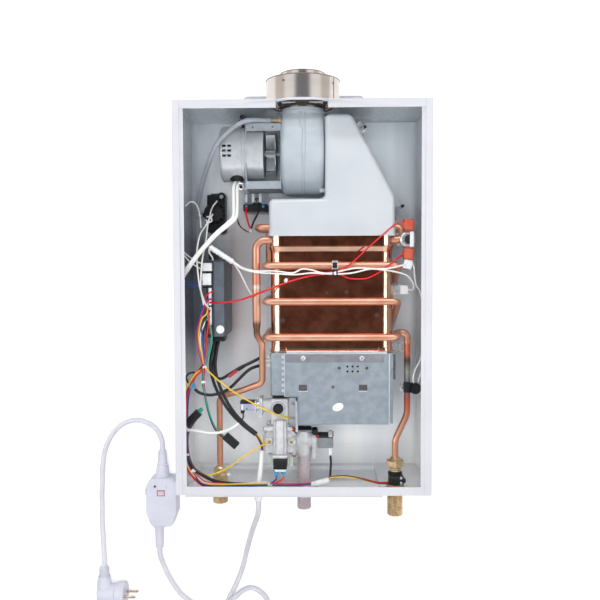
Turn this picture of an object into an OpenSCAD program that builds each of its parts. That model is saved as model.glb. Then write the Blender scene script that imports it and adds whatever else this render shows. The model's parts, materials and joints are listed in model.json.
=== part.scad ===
// Wall-hung instant gas water heater with its front cover off, lying on its back.
// +Z points out of the open front, +Y to the flue and +X to the right seen from the front.
// The origin is the middle of the back panel's outer face. Lengths are in millimetres.

/* [Case] */
// Width of the case
case_w = 330; // [320:1:350]
// Height of the case
case_h = 506; // [500:1:530]
// Depth from the back panel to the front lips
case_d = 155; // [152:1:175]
// Thickness of the case sheet
sheet_t = 1; // [0.8:0.1:1.2]
// Outer radius of the folds between back and sides
corner_r = 11; // [6:0.5:14]
// Width of the flat lip on each side
lip_w = 9; // [6:0.5:10]
// Width of the stepped hem inside each side lip
hem_w = 5; // [3:0.5:6]
// Height of the lips of the top and bottom panels
panel_lip_h = 11; // [8:0.5:14]
// How far the pressed pads stand out of the top and bottom panels
pad_h = 6; // [3:0.5:7]
// Width of the hanging plate behind the case
hanger_w = 176; // [140:2:200]
// How far the hanging plate rises above the case
hanger_rise = 38; // [30:1:45]

/* [Flue] */
// Outer diameter of the air collar
collar_d = 100; // [96:1:104]
// Outer diameter of the exhaust spigot
spigot_d = 60; // [56:1:62]
// Height of the air collar above its seat
collar_h = 35; // [28:1:45]
// How far the exhaust spigot stands above the air collar
spigot_rise = 10; // [4:1:16]
// Distance of the flue axis from the back
flue_z = 80; // [79:0.5:82]
// Thickness of the stainless sheet
flue_t = 0.8; // [0.6:0.1:1]

/* [Fan] */
// Distance of the fan shaft below the top of the case
fan_drop = 57; // [57:0.5:60]
// Distance of the fan shaft from the back
fan_z = 72; // [71:0.5:73]
// Width of the fan housing
volute_w = 57; // [54:1:57]
// Outer diameter of the fan housing
volute_d = 113; // [110:1:113]
// Diameter of the motor shell
motor_d = 75; // [70:1:76]
// Length of the motor shell
motor_l = 29; // [26:1:32]
// Diameter of the front half of the motor
motor_front_d = 70; // [66:1:70]
// Diameter of the motor shaft
shaft_d = 6; // [5:0.5:7]
// Diameter of the exhaust impeller
impeller_d = 80; // [72:1:84]
// Number of impeller blades
impeller_blades = 24; // [16:1:30]
// Diameter of the motor's cooling fan
cooler_d = 60; // [54:1:62]

/* [Exhaust hood] */
// Distance of the hood's front face from the back
hood_front = 128; // [126:0.5:130]
// Height of the tall side of the hood
hood_h = 158; // [156:1:160]
// Height of the low side of the hood
lobe_h = 49; // [46:0.5:49.5]
// Rounding of the hood's pressed edges
hood_r = 7; // [5:0.5:8]
// Thickness of the hood sheet
hood_t = 1; // [0.8:0.1:1.1]

/* [Heat exchanger] */
// Width of the copper jacket
jacket_w = 161; // [160:0.5:162]
// Depth of the copper jacket
jacket_d = 98.5; // [96:0.5:98.5]
// Height of the jacket below the hood
jacket_h = 153; // [150:1:156]
// Outer radius of the jacket's corners
jacket_r = 8; // [6:0.5:10]
// Thickness of the copper sheet
copper_t = 0.8; // [0.6:0.1:1]
// Outer diameter of the tube wound round the jacket
coil_d = 9.5; // [8.5:0.5:10]
// Outer diameter of the tubes in the fins
fin_tube_d = 10.5; // [9.5:0.5:11]
// Thickness of one fin
fin_t = 1; // [0.8:0.1:1.4]
// Number of fins
fins = 22; // [12:1:26]

/* [Burner] */
// Height of the burner box
burner_h = 94; // [92:1:96]
// Distance of the burner's front plate from the back
burner_front = 130; // [129.5:0.5:131]
// Thickness of the burner sheet
burner_t = 1.2; // [1:0.1:1.4]
// Number of burner bars
burner_bars_n = 11; // [7:1:13]

/* [Pipes and ports] */
// Distance of the gas and hot water ports from the back
port_z = 95; // [93:0.5:97]
// Distance of the cold water port from the back
cold_z = 112; // [110:0.5:114]
// Thread diameter of the water ports
water_thread_d = 20.955; // [20.955:0.001:20.955]
// Thread diameter of the gas port
gas_thread_d = 19.05; // [17:0.01:20.955]
// Outer diameter of the outlet riser
riser_d = 10.6; // [10:0.2:11]
// Outer diameter of the slim outlet pipe
slim_d = 8.4; // [8:0.2:9]
// Outer diameter of the cold inlet pipe
inlet_d = 8.6; // [8:0.2:9]
// Outer diameter of the gas pipe
gas_pipe_d = 18; // [16:0.5:19]

/* [Mains cord] */
// Diameter of the mains cord
cord_d = 7.4; // [6.8:0.1:7.6]
// Width of the leakage breaker
breaker_w = 46; // [44:0.5:48]
// Length of the leakage breaker
breaker_l = 78; // [76:0.5:80]
// Height of the leakage breaker
breaker_h = 29; // [28:0.5:32]
// Travel of the breaker's buttons
button_travel = 2; // [1:0.1:2]
// Diameter of the plug's round head
plug_d = 38; // [36:0.5:39]
// Diameter of the plug pins
pin_d = 4.8; // [4:0.1:4.8]
// Length of the plug pins
pin_l = 19; // [18:0.5:20]
// Distance between the plug pins
pin_gap = 19; // [18:0.1:19]

/* [Hidden] */

// Overrun of every cut
cut = 1;
// Gap between parts that lie against each other
seat = 0.3;
// Gap between spot-welded sheets
seam = 0.2;
// Faces of round solids
$fn = 48;

top = case_h / 2;
bottom = -case_h / 2;
side = case_w / 2;

function unit(v) = v / norm(v);

// A corner b of a route, turned into an arc of radius r in n steps
function corner_arc(a, b, c, r, n) =
  let (u = unit(a - b), v = unit(c - b))
  let (half = acos(max(-1, min(1, u * v))) / 2)
  let (turn = 180 - 2 * half)
  turn < 1 ? [b] :
  let (middle = b + unit(u + v) * r / sin(half))
  let (start = b + u * r / tan(half) - middle, end = b + v * r / tan(half) - middle)
  [for (i = [0:n]) middle + (start * sin(turn * (1 - i / n)) + end * sin(turn * i / n)) / sin(turn)];

function bent(route, r, n = 5) = [
  route[0],
  for (i = [1:len(route) - 2]) each corner_arc(route[i - 1], route[i], route[i + 1], r, n),
  route[len(route) - 1]];

function tangents(p) = let (last = len(p) - 1) [
  for (i = [0:last])
    i == 0 ? unit(p[1] - p[0]) :
    i == last ? unit(p[last] - p[last - 1]) :
    unit(unit(p[i + 1] - p[i]) + unit(p[i] - p[i - 1]))];

function square_to(t) = unit(cross(t, abs(t.z) > 0.9 ? [0, 1, 0] : [0, 0, 1]));

function carried(t) = [
  for (i = 0, n = square_to(t[0]); i < len(t);
    i = i + 1, n = i < len(t) ? unit(n - (n * t[i]) * t[i]) : n) n];

function length_of(p) = len(p) < 2 ? 0 : norm(p[1] - p[0]) + length_of([for (i = [1:len(p) - 1]) p[i]]);

// A tube swept along a route, with one radius or a list of them
module tube(p, r, sides = 8) {
  t = tangents(p);
  n = carried(t);
  last = len(p) - 1;
  points = [
    for (i = [0:last], k = [0:sides - 1])
      let (a = 360 * k / sides, w = is_list(r) ? r[i] : r)
      p[i] + w * (cos(a) * n[i] + sin(a) * cross(t[i], n[i]))];
  walls = [
    for (i = [0:last - 1], k = [0:sides - 1])
      let (a = i * sides + k, b = i * sides + (k + 1) % sides)
      each [[a, a + sides, b], [b, a + sides, b + sides]]];
  first_cap = [for (k = [0:sides - 1]) k];
  last_cap = [for (k = [sides - 1:-1:0]) last * sides + k];
  polyhedron(points = points, faces = concat(walls, [first_cap], [last_cap]));
}

module box(x, y, z) {
  translate([x[0], y[0], z[0]]) cube([x[1] - x[0], y[1] - y[0], z[1] - z[0]]);
}

module bar_x(x, y, z, r) {
  translate([x[0], y, z]) rotate([0, 90, 0]) cylinder(h = x[1] - x[0], r = r);
}

module bar_y(x, y, z, r) {
  translate([x, y[0], z]) rotate([-90, 0, 0]) cylinder(h = y[1] - y[0], r = r);
}

module bar_z(x, y, z, r) {
  translate([x, y, z[0]]) cylinder(h = z[1] - z[0], r = r);
}

module cone_y(x, y, z, r1, r2) {
  translate([x, y[0], z]) rotate([-90, 0, 0]) cylinder(h = y[1] - y[0], r1 = r1, r2 = r2);
}

module round_rect(w, h, r) {
  square([w - 2 * r, h], center = true);
  square([w, h - 2 * r], center = true);
  for (i = [-1, 1], j = [-1, 1])
    translate([i * (w / 2 - r), j * (h / 2 - r)]) circle(r = r);
}

// Stands a flat outline in X and Z up along Y
module along_y(y) {
  translate([0, y[1], 0]) rotate([90, 0, 0]) linear_extrude(y[1] - y[0]) children();
}

// Stands a flat outline in Y and Z along X
module along_x(x) {
  translate([x[0], 0, 0]) rotate([90, 0, 90]) linear_extrude(x[1] - x[0]) children();
}

// Screws with a domed head standing on the plane z
screw_head_h = 1.6;
module screws_z(places, z, r) {
  for (p = places) {
    bar_z(p.x, p.y, [z, z + screw_head_h / 2], r);
    bar_z(p.x, p.y, [z, z + screw_head_h], r * 2 / 3);
  }
}

// Case
hem_drop = 2;
boss_h = 4;
boss_r = collar_d / 2 + 2;
air_hole_r = collar_d / 2 - 9;
notch_w = 66;
bottom_pad_x = [-155, 103];
bottom_pad_z = [16, 143];
top_pad_half_w = 98;
top_pad_z = [12, 24];
plate_t = 1.5;
panel_half_w = side - sheet_t - seam;
port_hole_gap = 0.7;

module shell_outline(w, d, r) {
  translate([-w / 2, r]) square([w, d - r]);
  translate([r - w / 2, 0]) square([w - 2 * r, r]);
  for (i = [-1, 1])
    translate([i * (w / 2 - r), r]) circle(r = r);
}

module back_shell() {
  lip_x = side - lip_w;
  hem_z = case_d - hem_drop - sheet_t;
  color("#e9ebf0") {
    along_y([bottom, top]) {
      difference() {
        shell_outline(case_w, case_d, corner_r);
        translate([0, sheet_t])
          shell_outline(case_w - 2 * sheet_t, case_d, corner_r - sheet_t);
      }
      for (i = [-1, 1])
        scale([i, 1]) {
          translate([lip_x, case_d - sheet_t]) square([lip_w, sheet_t]);
          translate([lip_x, hem_z]) square([sheet_t, hem_drop + sheet_t]);
          translate([lip_x - hem_w, hem_z]) square([hem_w + sheet_t, sheet_t]);
        }
    }
  }
}

// The flat of a panel, which fits between the sides of the shell and over its plate
module panel_flat(y, plate_w) {
  hem_x = side - lip_w - hem_w - seam;
  difference() {
    along_y(y) {
      translate([0, sheet_t + seam])
        shell_outline(2 * panel_half_w, case_d - hem_drop - 2 * sheet_t - 2 * seam, corner_r - sheet_t - seam);
      translate([-hem_x, corner_r]) square([2 * hem_x, case_d - corner_r]);
    }
    box([-plate_w / 2 - seam, plate_w / 2 + seam], y + [-cut, cut], [0, sheet_t + plate_t + seam]);
  }
}

module top_panel() {
  lip_half_w = side - lip_w - seam;
  color("#e9ebf0") difference() {
    union() {
      panel_flat([top - sheet_t, top], hanger_w);
      box([-lip_half_w, lip_half_w], [top - panel_lip_h, top], [case_d - sheet_t, case_d]);
      bar_y(0, [top - sheet_t, top + boss_h], flue_z, boss_r);
      box([-top_pad_half_w, top_pad_half_w], [top - sheet_t, top + boss_h], top_pad_z);
    }
    bar_y(0, [top - sheet_t - cut, top + boss_h - sheet_t], flue_z, boss_r - sheet_t);
    bar_y(0, [top - sheet_t - cut, top + boss_h + cut], flue_z, air_hole_r);
    box([sheet_t - top_pad_half_w, top_pad_half_w - sheet_t],
      [top - sheet_t - cut, top + boss_h - sheet_t], top_pad_z + [sheet_t, -sheet_t]);
    box([-notch_w / 2, notch_w / 2], [top - panel_lip_h - cut, top - sheet_t],
      [case_d - sheet_t - cut, case_d + cut]);
    for (p = collar_screw_places)
      bar_y(p.x, [top - cut, top + boss_h + cut], p.y, collar_screw_r + seat);
  }
}

module bottom_panel() {
  lip_half_w = side - lip_w - seam;
  low = bottom - pad_h;
  color("#e9ebf0") difference() {
    union() {
      panel_flat([bottom, bottom + sheet_t], lower_plate_w);
      box([-lip_half_w, lip_half_w], [bottom, bottom + panel_lip_h],
        [case_d - sheet_t, case_d]);
      box(bottom_pad_x, [low, bottom + sheet_t], bottom_pad_z);
    }
    box(bottom_pad_x + [sheet_t, -sheet_t], [low + sheet_t, bottom + sheet_t + cut],
      bottom_pad_z + [sheet_t, -sheet_t]);
    bar_y(hot_x, [low - cut, bottom + cut], port_z, water_thread_d / 2 + port_hole_gap);
    bar_y(gas_x, [low - cut, bottom + cut], port_z, gas_thread_d / 2 + port_hole_gap);
    bar_y(cold_x, [low - cut, bottom + sheet_t + cut], cold_z,
      water_thread_d / 2 + port_hole_gap);
    bar_y(gland_x, [low - cut, bottom + cut], gland_z, gland_r + seam);
  }
}

// Keyhole and slots of the hanging plate
key_r = 6;
key_slot_r = 3.2;
key_slot_l = 12;
slot_x = 62;
plate_overlap = 30;

module hanging_plate() {
  y0 = top - plate_overlap;
  y1 = top + hanger_rise;
  key_y = top + hanger_rise / 2 - key_r / 2;
  z = [sheet_t, sheet_t + plate_t];
  through = z + [-cut, cut];
  color("#d9dbe0") difference() {
    union() {
      box([-hanger_w / 2, hanger_w / 2], [y0, y1 - key_r], z);
      box([key_r - hanger_w / 2, hanger_w / 2 - key_r], [y0, y1], z);
      for (i = [-1, 1])
        bar_z(i * (hanger_w / 2 - key_r), y1 - key_r, z, key_r);
    }
    bar_z(0, key_y, through, key_r);
    for (x = [-slot_x, 0, slot_x]) {
      bar_z(x, key_y, through, key_slot_r);
      bar_z(x, key_y + key_slot_l, through, key_slot_r);
      box([x - key_slot_r, x + key_slot_r], [key_y, key_y + key_slot_l], through);
    }
  }
}

lower_plate_w = 132;
lower_plate_drop = 22;

module lower_plate() {
  z = [sheet_t, sheet_t + plate_t];
  color("#d9dbe0") difference() {
    box([-lower_plate_w / 2, lower_plate_w / 2], [bottom - lower_plate_drop, bottom + plate_overlap], z);
    for (i = [-1, 1])
      bar_z(i * lower_plate_w / 3, bottom - lower_plate_drop / 2, z + [-cut, cut], key_slot_r);
  }
}

// Flue
collar_seat = top + boss_h;
gasket_t = 2;
collar_flange_r = collar_d / 2 + 1;
bead_r = 1.2;
collar_screw_r = 1.6;
collar_screw_ring = collar_d / 2 - 5;
collar_screw_places = [
  for (a = [45:90:315]) [collar_screw_ring * cos(a), flue_z + collar_screw_ring * sin(a)]];
collar_in = collar_d / 2 - flue_t;
spigot_low = top;
vent_r = 1.4;

// The tube that takes the room air, with a turned-in foot
module air_collar() {
  y0 = collar_seat + gasket_t;
  y1 = collar_seat + collar_h;
  color("#b9b3ae") difference() {
    union() {
      bar_y(0, [y0, y1], flue_z, collar_d / 2);
      bar_y(0, [y0, y0 + flue_t], flue_z, collar_flange_r);
    }
    bar_y(0, [y0 + flue_t, y1 + cut], flue_z, collar_in);
    bar_y(0, [y0 - cut, y1], flue_z, air_hole_r);
    for (p = collar_screw_places)
      bar_y(p.x, [y0 - cut, y0 + flue_t + cut], p.y, collar_screw_r + seat);
    for (a = [45, 135])
      translate([0, y1 - collar_h / 4, flue_z]) rotate([0, a - 180, 0])
        bar_x([0, collar_d], 0, 0, vent_r);
  }
}

// Exhaust spigot, widened below to take the outlet of the fan
module exhaust_spigot() {
  y1 = collar_seat + collar_h + spigot_rise;
  lug_w = 6;
  lug_y = collar_seat + collar_h / 2;
  step_y = lug_y + lug_w;
  color("#aaa6a2") difference() {
    union() {
      bar_y(0, [spigot_low, y1], flue_z, spigot_d / 2);
      bar_y(0, [spigot_low, step_y], flue_z, spigot_d / 2 + flue_t);
      for (a = [0:120:240])
        translate([0, lug_y, flue_z]) rotate([0, a, 0])
          box([0, collar_in - seat], [-lug_w / 2, lug_w / 2], [-flue_t / 2, flue_t / 2]);
    }
    bar_y(0, [spigot_low - cut, y1 + cut], flue_z, spigot_d / 2 - flue_t);
    bar_y(0, [spigot_low - cut, step_y - flue_t], flue_z, spigot_d / 2);
  }
}

module collar_gasket() {
  color("#2a2c2f") difference() {
    bar_y(0, [collar_seat, collar_seat + gasket_t], flue_z, collar_flange_r);
    bar_y(0, [collar_seat - cut, collar_seat + gasket_t + cut], flue_z, air_hole_r);
    for (p = collar_screw_places)
      bar_y(p.x, [collar_seat - cut, collar_seat + gasket_t + cut], p.y,
        collar_screw_r + seat);
  }
}

module collar_screws() {
  y = collar_seat + gasket_t + flue_t;
  color("#8d9096")
    for (p = collar_screw_places) {
      bar_y(p.x, [top - gasket_t, y], p.y, collar_screw_r);
      bar_y(p.x, [y, y + screw_head_h], p.y, collar_screw_r * 2);
    }
}

// Fan
fan_y = top - fan_drop;
volute_t = 1.5;
volute_r = volute_d / 2;
volute_edge_r = 7;
volute_left = -volute_w / 2;
outlet_r = spigot_d / 2 - flue_t - seat;
outlet_top = top + 8;
outlet_ring = [top - 12, top - 4];
shaft_hole_r = shaft_d / 2 + 1.5;
fan_inlet_r = 27;
rib_w = 5;
rib_out = 1;

// A drum with rounded rims about the fan shaft
module drum(x, r, edge) {
  translate([x[0], fan_y, fan_z]) rotate([0, 90, 0]) rotate_extrude() {
    square([r - edge, x[1] - x[0]]);
    translate([0, edge]) square([r, x[1] - x[0] - 2 * edge]);
    translate([r - edge, edge]) circle(r = edge);
    translate([r - edge, x[1] - x[0] - edge]) circle(r = edge);
  }
}

// Round scroll with its upright outlet, a seam rib and an inlet on the hood side
module fan_housing() {
  right = volute_w / 2;
  color("#c3ccd3") difference() {
    union() {
      drum([volute_left, right], volute_r, volute_edge_r);
      bar_y(0, [fan_y, outlet_top], flue_z, outlet_r - seam * 3);
      bar_y(0, [outlet_ring[0], outlet_top], flue_z, outlet_r);
      bar_y(0, outlet_ring, flue_z, outlet_r + 4);
      difference() {
        drum([-rib_w / 2, rib_w / 2], volute_r + rib_out, rib_out);
        box([-volute_w, volute_w], [fan_y + volute_r / 2, top + volute_r], [-cut, case_d]);
      }
      for (a = [-50, 230, 110])
        translate([0, fan_y, fan_z]) rotate([a, 0, 0])
          box([-rib_w * 2, rib_w * 2], [volute_r - volute_edge_r, volute_r + rib_out * 2],
            [-volute_edge_r, volute_edge_r]);
    }
    drum([volute_left + volute_t, right - volute_t], volute_r - volute_t,
      volute_edge_r - volute_t);
    bar_y(0, [fan_y, outlet_top + cut], flue_z, outlet_r - volute_t);
    bar_x([volute_left - cut, volute_left + volute_t + cut], fan_y, fan_z, shaft_hole_r);
    bar_x([right - volute_t - cut, right + cut], fan_y, fan_z, fan_inlet_r);
    for (p = nipple_places)
      bar_x([volute_left - cut, volute_left + volute_t + cut], p.x, p.y, nipple_r / 2);
    for (p = bracket_bolts)
      bar_x([volute_left - cut, volute_left + volute_t + cut], fan_y + p.x, fan_z + p.y,
        bolt_r);
  }
}

impeller_w = 34;
impeller_x = [volute_left + 9, volute_left + 9 + impeller_w];
blade_depth = 9;
blade_t = 0.8;
hub_r = 9;

module impeller() {
  r = impeller_d / 2;
  color("#b9bec2") difference() {
    translate([impeller_x[0], fan_y, fan_z]) rotate([0, 90, 0]) {
      cylinder(h = blade_t * 2, r = r);
      cylinder(h = impeller_w / 2, r = hub_r);
      difference() {
        translate([0, 0, impeller_w - blade_t * 2]) cylinder(h = blade_t * 2, r = r);
        translate([0, 0, -cut]) cylinder(h = impeller_w + 2 * cut, r = r - blade_depth);
      }
      for (i = [0:impeller_blades - 1])
        rotate([0, 0, i * 360 / impeller_blades])
          translate([r - blade_depth, 0, 0]) rotate([0, 0, 20])
            translate([0, -blade_t / 2, 0])
              cube([blade_depth * 0.94, blade_t, impeller_w - blade_t]);
    }
    bar_x([impeller_x[0] - cut, impeller_x[1]], fan_y, fan_z, shaft_d / 2);
  }
}

motor_right = volute_left - 24.5;
motor_joint = motor_right - 26;
motor_left = motor_joint - motor_l - 4;
motor_t = 1.2;
motor_edge_r = 5;
shaft_x = [motor_left + 3.5, impeller_x[0] + impeller_w / 2 + 2];
bearing_w = 6;
bearing_r = 9;
bearing_gap = 0.03;

module motor_shaft() {
  color("#9a9da1") bar_x(shaft_x, fan_y, fan_z, shaft_d / 2);
}

cooler_x = [motor_right + 3, volute_left - 8];
cooler_blades = 6;
cooler_blade_t = 1;

// Blades on a thin disc that blow air over the motor
module cooling_fan() {
  l = cooler_x[1] - cooler_x[0];
  color("#9fa6ab") difference() {
    translate([cooler_x[0], fan_y, fan_z]) rotate([0, 90, 0]) {
      translate([0, 0, l - cooler_blade_t]) cylinder(h = cooler_blade_t, r = cooler_d / 2);
      cylinder(h = l, r = hub_r);
      for (i = [0:cooler_blades - 1])
        rotate([0, 0, i * 360 / cooler_blades])
          translate([hub_r - cooler_blade_t, -cooler_blade_t / 2, 0])
            cube([cooler_d / 2 - hub_r - cooler_blade_t, cooler_blade_t * 2, l]);
    }
    bar_x([cooler_x[0] - cut, cooler_x[1] + cut], fan_y, fan_z, shaft_d / 2);
  }
}

vent_slot_w = 12;
vent_slot_h = 3;
vent_pitch = 6.5;
vent_share = [-1, 0, 1];
grommet_w = 20;
grommet_y = [fan_y - motor_d / 2 - 1.5, fan_y - motor_d / 2 + 7];
grommet_z = [fan_z + 2, fan_z + 16];

// A drum whose left rim alone is rounded
module can(x, r, edge) {
  translate([x[0], fan_y, fan_z]) rotate([0, 90, 0]) rotate_extrude() {
    square([r - edge, x[1] - x[0]]);
    translate([0, edge]) square([r, x[1] - x[0] - edge]);
    translate([r - edge, edge]) circle(r = edge);
  }
}

module motor_shell() {
  x = [motor_left, motor_joint];
  vent_x = motor_left + 5;
  color("#cfd3d6") difference() {
    can(x, motor_d / 2, motor_edge_r);
    can([x[0] + motor_t, x[1] + cut], motor_d / 2 - motor_t, motor_edge_r - motor_t);
    for (i = vent_share, j = [0, 1])
      translate([vent_x + j * (vent_slot_w / 2 + 1), fan_y + i * vent_pitch - vent_slot_h / 2,
        fan_z]) cube([vent_slot_w / 2 - 1, vent_slot_h, motor_d]);
    box([x[1] - grommet_w, x[1] + cut], [fan_y - motor_d, grommet_y[1]], grommet_z);
  }
  color("#b4b9bd") bearing_seat(x[0] + motor_t, 1);
}

// The cup that a bearing sits in
module bearing_seat(x, way) {
  difference() {
    bar_x(way > 0 ? [x, x + bearing_w] : [x - bearing_w, x], fan_y, fan_z, bearing_r + motor_t);
    bar_x([x - bearing_w - cut, x + bearing_w + cut], fan_y, fan_z, bearing_r + bearing_gap);
  }
}

module motor_front() {
  x = [motor_joint, motor_right];
  color("#c6cbcf") difference() {
    union() {
      bar_x(x, fan_y, fan_z, motor_front_d / 2);
      bar_x([x[0], x[0] + motor_t * 2], fan_y, fan_z, motor_d / 2);
    }
    bar_x([x[0] - cut, x[1] - motor_t], fan_y, fan_z, motor_front_d / 2 - motor_t);
    bar_x([x[0], x[1] + cut], fan_y, fan_z, bearing_r - 1);
  }
  color("#b4b9bd") bearing_seat(x[1] - motor_t, -1);
}

core_gap = 2;
winding_r = 25;

// Wound stator round the shaft
module motor_core() {
  x = [motor_left + bearing_w + motor_t + core_gap * 2, motor_right - bearing_w - motor_t - core_gap * 2];
  color("#7d6a4f") difference() {
    union() {
      bar_x(x, fan_y, fan_z, winding_r);
      bar_x([motor_joint + seat, x[1] - core_gap], fan_y, fan_z, motor_front_d / 2 - motor_t - seat);
    }
    bar_x([x[0] - cut, x[1] + cut], fan_y, fan_z, shaft_d / 2 + core_gap);
    for (a = [0:60:300])
      translate([0, fan_y, fan_z]) rotate([a, 0, 0])
        bar_x([x[0] - cut, x[1] + cut], motor_front_d / 4, 0, core_gap * 2);
  }
}

module motor_bearings() {
  seats = [[motor_left + 2 * motor_t, motor_left + motor_t + bearing_w],
    [motor_right - motor_t - bearing_w, motor_right - 2 * motor_t]];
  color("#a9adb1")
    for (x = seats)
      difference() {
        bar_x(x, fan_y, fan_z, bearing_r);
        bar_x(x + [-cut, cut], fan_y, fan_z, shaft_d / 2 + bearing_gap);
      }
}

arm_h = 10;
arm_t = 1.5;
ring_half = 42;
bracket_y = [fan_y - 50, fan_y + 36.5];
ring_left = motor_joint + motor_t * 2 + seam;
ring_right = volute_left - seam - arm_t;
bolt_r = 2;
bracket_bolts = [[26, 26], [-26, 26], [26, -26], [-26, -26]];
arm_z = fan_z + 30;
foot_y = top - 134;
foot_x = [-85, -50];

// Sheet bracket that carries the motor from the fan housing and from the back panel
module motor_bracket() {
  y_high = bracket_y[1];
  y_low = bracket_y[0];
  color("#b3b9be") {
    difference() {
      union() {
        box([ring_left, ring_left + arm_t], [y_low, y_high], [fan_z - ring_half, arm_z + arm_t]);
        box([ring_right, ring_right + arm_t], [y_low, y_high], [fan_z - ring_half, arm_z + arm_t]);
        box([ring_left, ring_right + arm_t], [y_high - arm_h, y_high], [arm_z, arm_z + arm_t]);
        box([ring_left, ring_right + arm_t], [y_high - arm_t, y_high], [fan_z - 15, arm_z + arm_t]);
        box([ring_left, ring_right + arm_t], [y_low, y_low + arm_t], [fan_z - 30, arm_z + arm_t]);
        box([ring_left, ring_right + arm_t], [y_low, y_low + arm_h], [arm_z, arm_z + arm_t]);
      }
      bar_x([ring_left - cut, ring_left + arm_t + cut], fan_y, fan_z, motor_front_d / 2 + seat);
      bar_x([ring_right - cut, ring_right + arm_t + cut], fan_y, fan_z, cooler_d / 2);
      for (p = bracket_bolts)
        bar_x([ring_right - cut, ring_right + arm_t + cut], fan_y + p.x, fan_z + p.y, bolt_r);
      for (x = [ring_left + arm_h, ring_right - arm_h])
        bar_z(x, y_high - arm_h / 2, [arm_z - cut, arm_z + arm_t + cut], bolt_r / 2);
    }
    box(foot_x, [foot_y, y_low + arm_t], [fan_z - ring_half, fan_z - ring_half + arm_t]);
    box(foot_x, [foot_y, foot_y + arm_t], [sheet_t + seat, fan_z - ring_half + arm_t]);
  }
}

module motor_grommet() {
  x = motor_joint - grommet_w;
  z = grommet_z + [seat, -seat];
  color("#17181a") difference() {
    box([x + seat, x + grommet_w - seat], grommet_y - [0, seat], z);
    bar_y(x + grommet_w / 2, grommet_y + [-cut, cut], (z[0] + z[1]) / 2, sleeve_r + seam / 2);
  }
}

nipple_r = 4;
nipple_places = [[top - 16.2, 98]];
nipple_l = 13;

module pressure_nipple() {
  p = nipple_places[0];
  x = volute_left - seam;
  color("#c69a4a") difference() {
    union() {
      bar_x([x - nipple_l, volute_left + volute_t], p.x, p.y, nipple_r / 2 - seam);
      bar_x([x - nipple_r, x], p.x, p.y, nipple_r);
      bar_x([x - nipple_l + 2, x - nipple_r - 2], p.x, p.y, nipple_r * 0.6);
    }
    bar_x([x - nipple_l - cut, volute_left + volute_t + cut], p.x, p.y, nipple_r / 4);
  }
}

hose_r = 3.3;
hose_route = [[-42.2, 236.8, 98], [-52, 236.8, 99], [-63, 236.5, 105], [-76, 234, 111], [-89, 227, 113],
  [-102, 216, 114], [-112, 205, 114], [-120, 193, 109], [-129, 177, 92], [-138, 162, 70],
  [-145, 147, 52], [-150, 136, 38], [-155, 126, 27], [-156.5, 119.5, 19], [-153, 117, 17], [-147.3, 117, 17]];

module pressure_hose() {
  color("#a7abb5") tube(hose_route, hose_r, 10);
}

switch_x = [-143, -114];
switch_y = [top - 163, top - 104];
switch_z = [sheet_t + seat, 34];

// Air pressure switch with its two screws and the hose barb
module pressure_switch() {
  screw_y = [for (y = switch_y) y + (y > switch_y[0] ? -5 : 6)];
  color("#222326") {
    box(switch_x, switch_y, [switch_z[0], switch_z[1] - 8]);
    bar_z(switch_x[0] + 15, switch_y[0] + 28, [switch_z[1] - 9, switch_z[1]], 13);
    bar_x([switch_x[0] - 4, switch_x[0] + 2], switch_y[0] + 27, 17, 2);
  }
  color("#d8cfc0") screws_z([for (y = screw_y) [switch_x[1] - 4, y]], switch_z[1] - 8, 3);
}

cap_x = [-84, -50];
cap_y = [top - 134, top - 124];
cap_z = [fan_z - ring_half + arm_t + seat, 62];

// Motor capacitor hung on the bracket's foot by its ear
module fan_capacitor() {
  middle = (cap_x[0] + cap_x[1]) / 2;
  ear_r = 5;
  color("#1c1d20") {
    box(cap_x, cap_y, cap_z);
    bar_z(middle, cap_y[1] + 6, [cap_z[0], cap_z[0] + 3], ear_r);
    box([middle - ear_r - 2, middle + ear_r + 2], [cap_y[1] - 1, cap_y[1] + 6],
      [cap_z[0], cap_z[0] + 3]);
  }
  color("#c9c4b4") screws_z([[middle, cap_y[1] + 6]], cap_z[0] + 3, 3);
}

// Exhaust hood
hood_back = 25;
hood_top = top - 13;
hood_bottom = hood_top - hood_h;
lobe_top = hood_bottom + lobe_h;
jacket_x = 37.5;
hood_left = jacket_x - jacket_w / 2 - hood_t - seat - 0.2;
hood_right = jacket_x + jacket_w / 2 + hood_t + seat + 1.5;
hood_inner = volute_w / 2 + 0.7;
hood_flat_x = 64;
shoulder_y = hood_top - 107;
tube_slot_h = 24;
edge_faces = 20;

// Prism over a convex outline given at the centres of its rounded front edges
module pressed(points, r) {
  back = hood_back + hood_r - r;
  hull()
    for (p = points) {
      translate([p.x, p.y, hood_front - hood_r]) sphere(r = r, $fn = edge_faces);
      translate([p.x, p.y, back]) cylinder(h = hood_r, r = r, $fn = edge_faces);
    }
}

module hood_solid(r) {
  k = hood_r;
  low = hood_bottom - 2 * k;
  pressed([[hood_left + k, low], [hood_inner + k + 2, low], [hood_inner + k + 2, lobe_top - k],
    [hood_left + k, lobe_top - k]], r);
  pressed([[hood_inner + k, low], [hood_right - k, low], [hood_right - k, shoulder_y],
    [hood_flat_x - k / 2, hood_top - k], [hood_inner + k, hood_top - k]], r);
}

module exhaust_hood() {
  color("#d9dee5") difference() {
    hood_solid(hood_r);
    hood_solid(hood_r - hood_t);
    box([-case_w, case_w], [bottom, hood_bottom], [0, case_d]);
    box([hood_left - cut, hood_left + hood_r], [hood_bottom - cut, hood_bottom + tube_slot_h],
      [34, 116]);
    box([hood_right - hood_r, hood_right + cut], [hood_bottom - cut, hood_bottom + tube_slot_h],
      [34, 118]);
    bar_x([hood_inner - cut, hood_inner + hood_t + cut], fan_y, fan_z, fan_inlet_r);
  }
}

clip_w = 14;
clip_z = 100;

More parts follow.
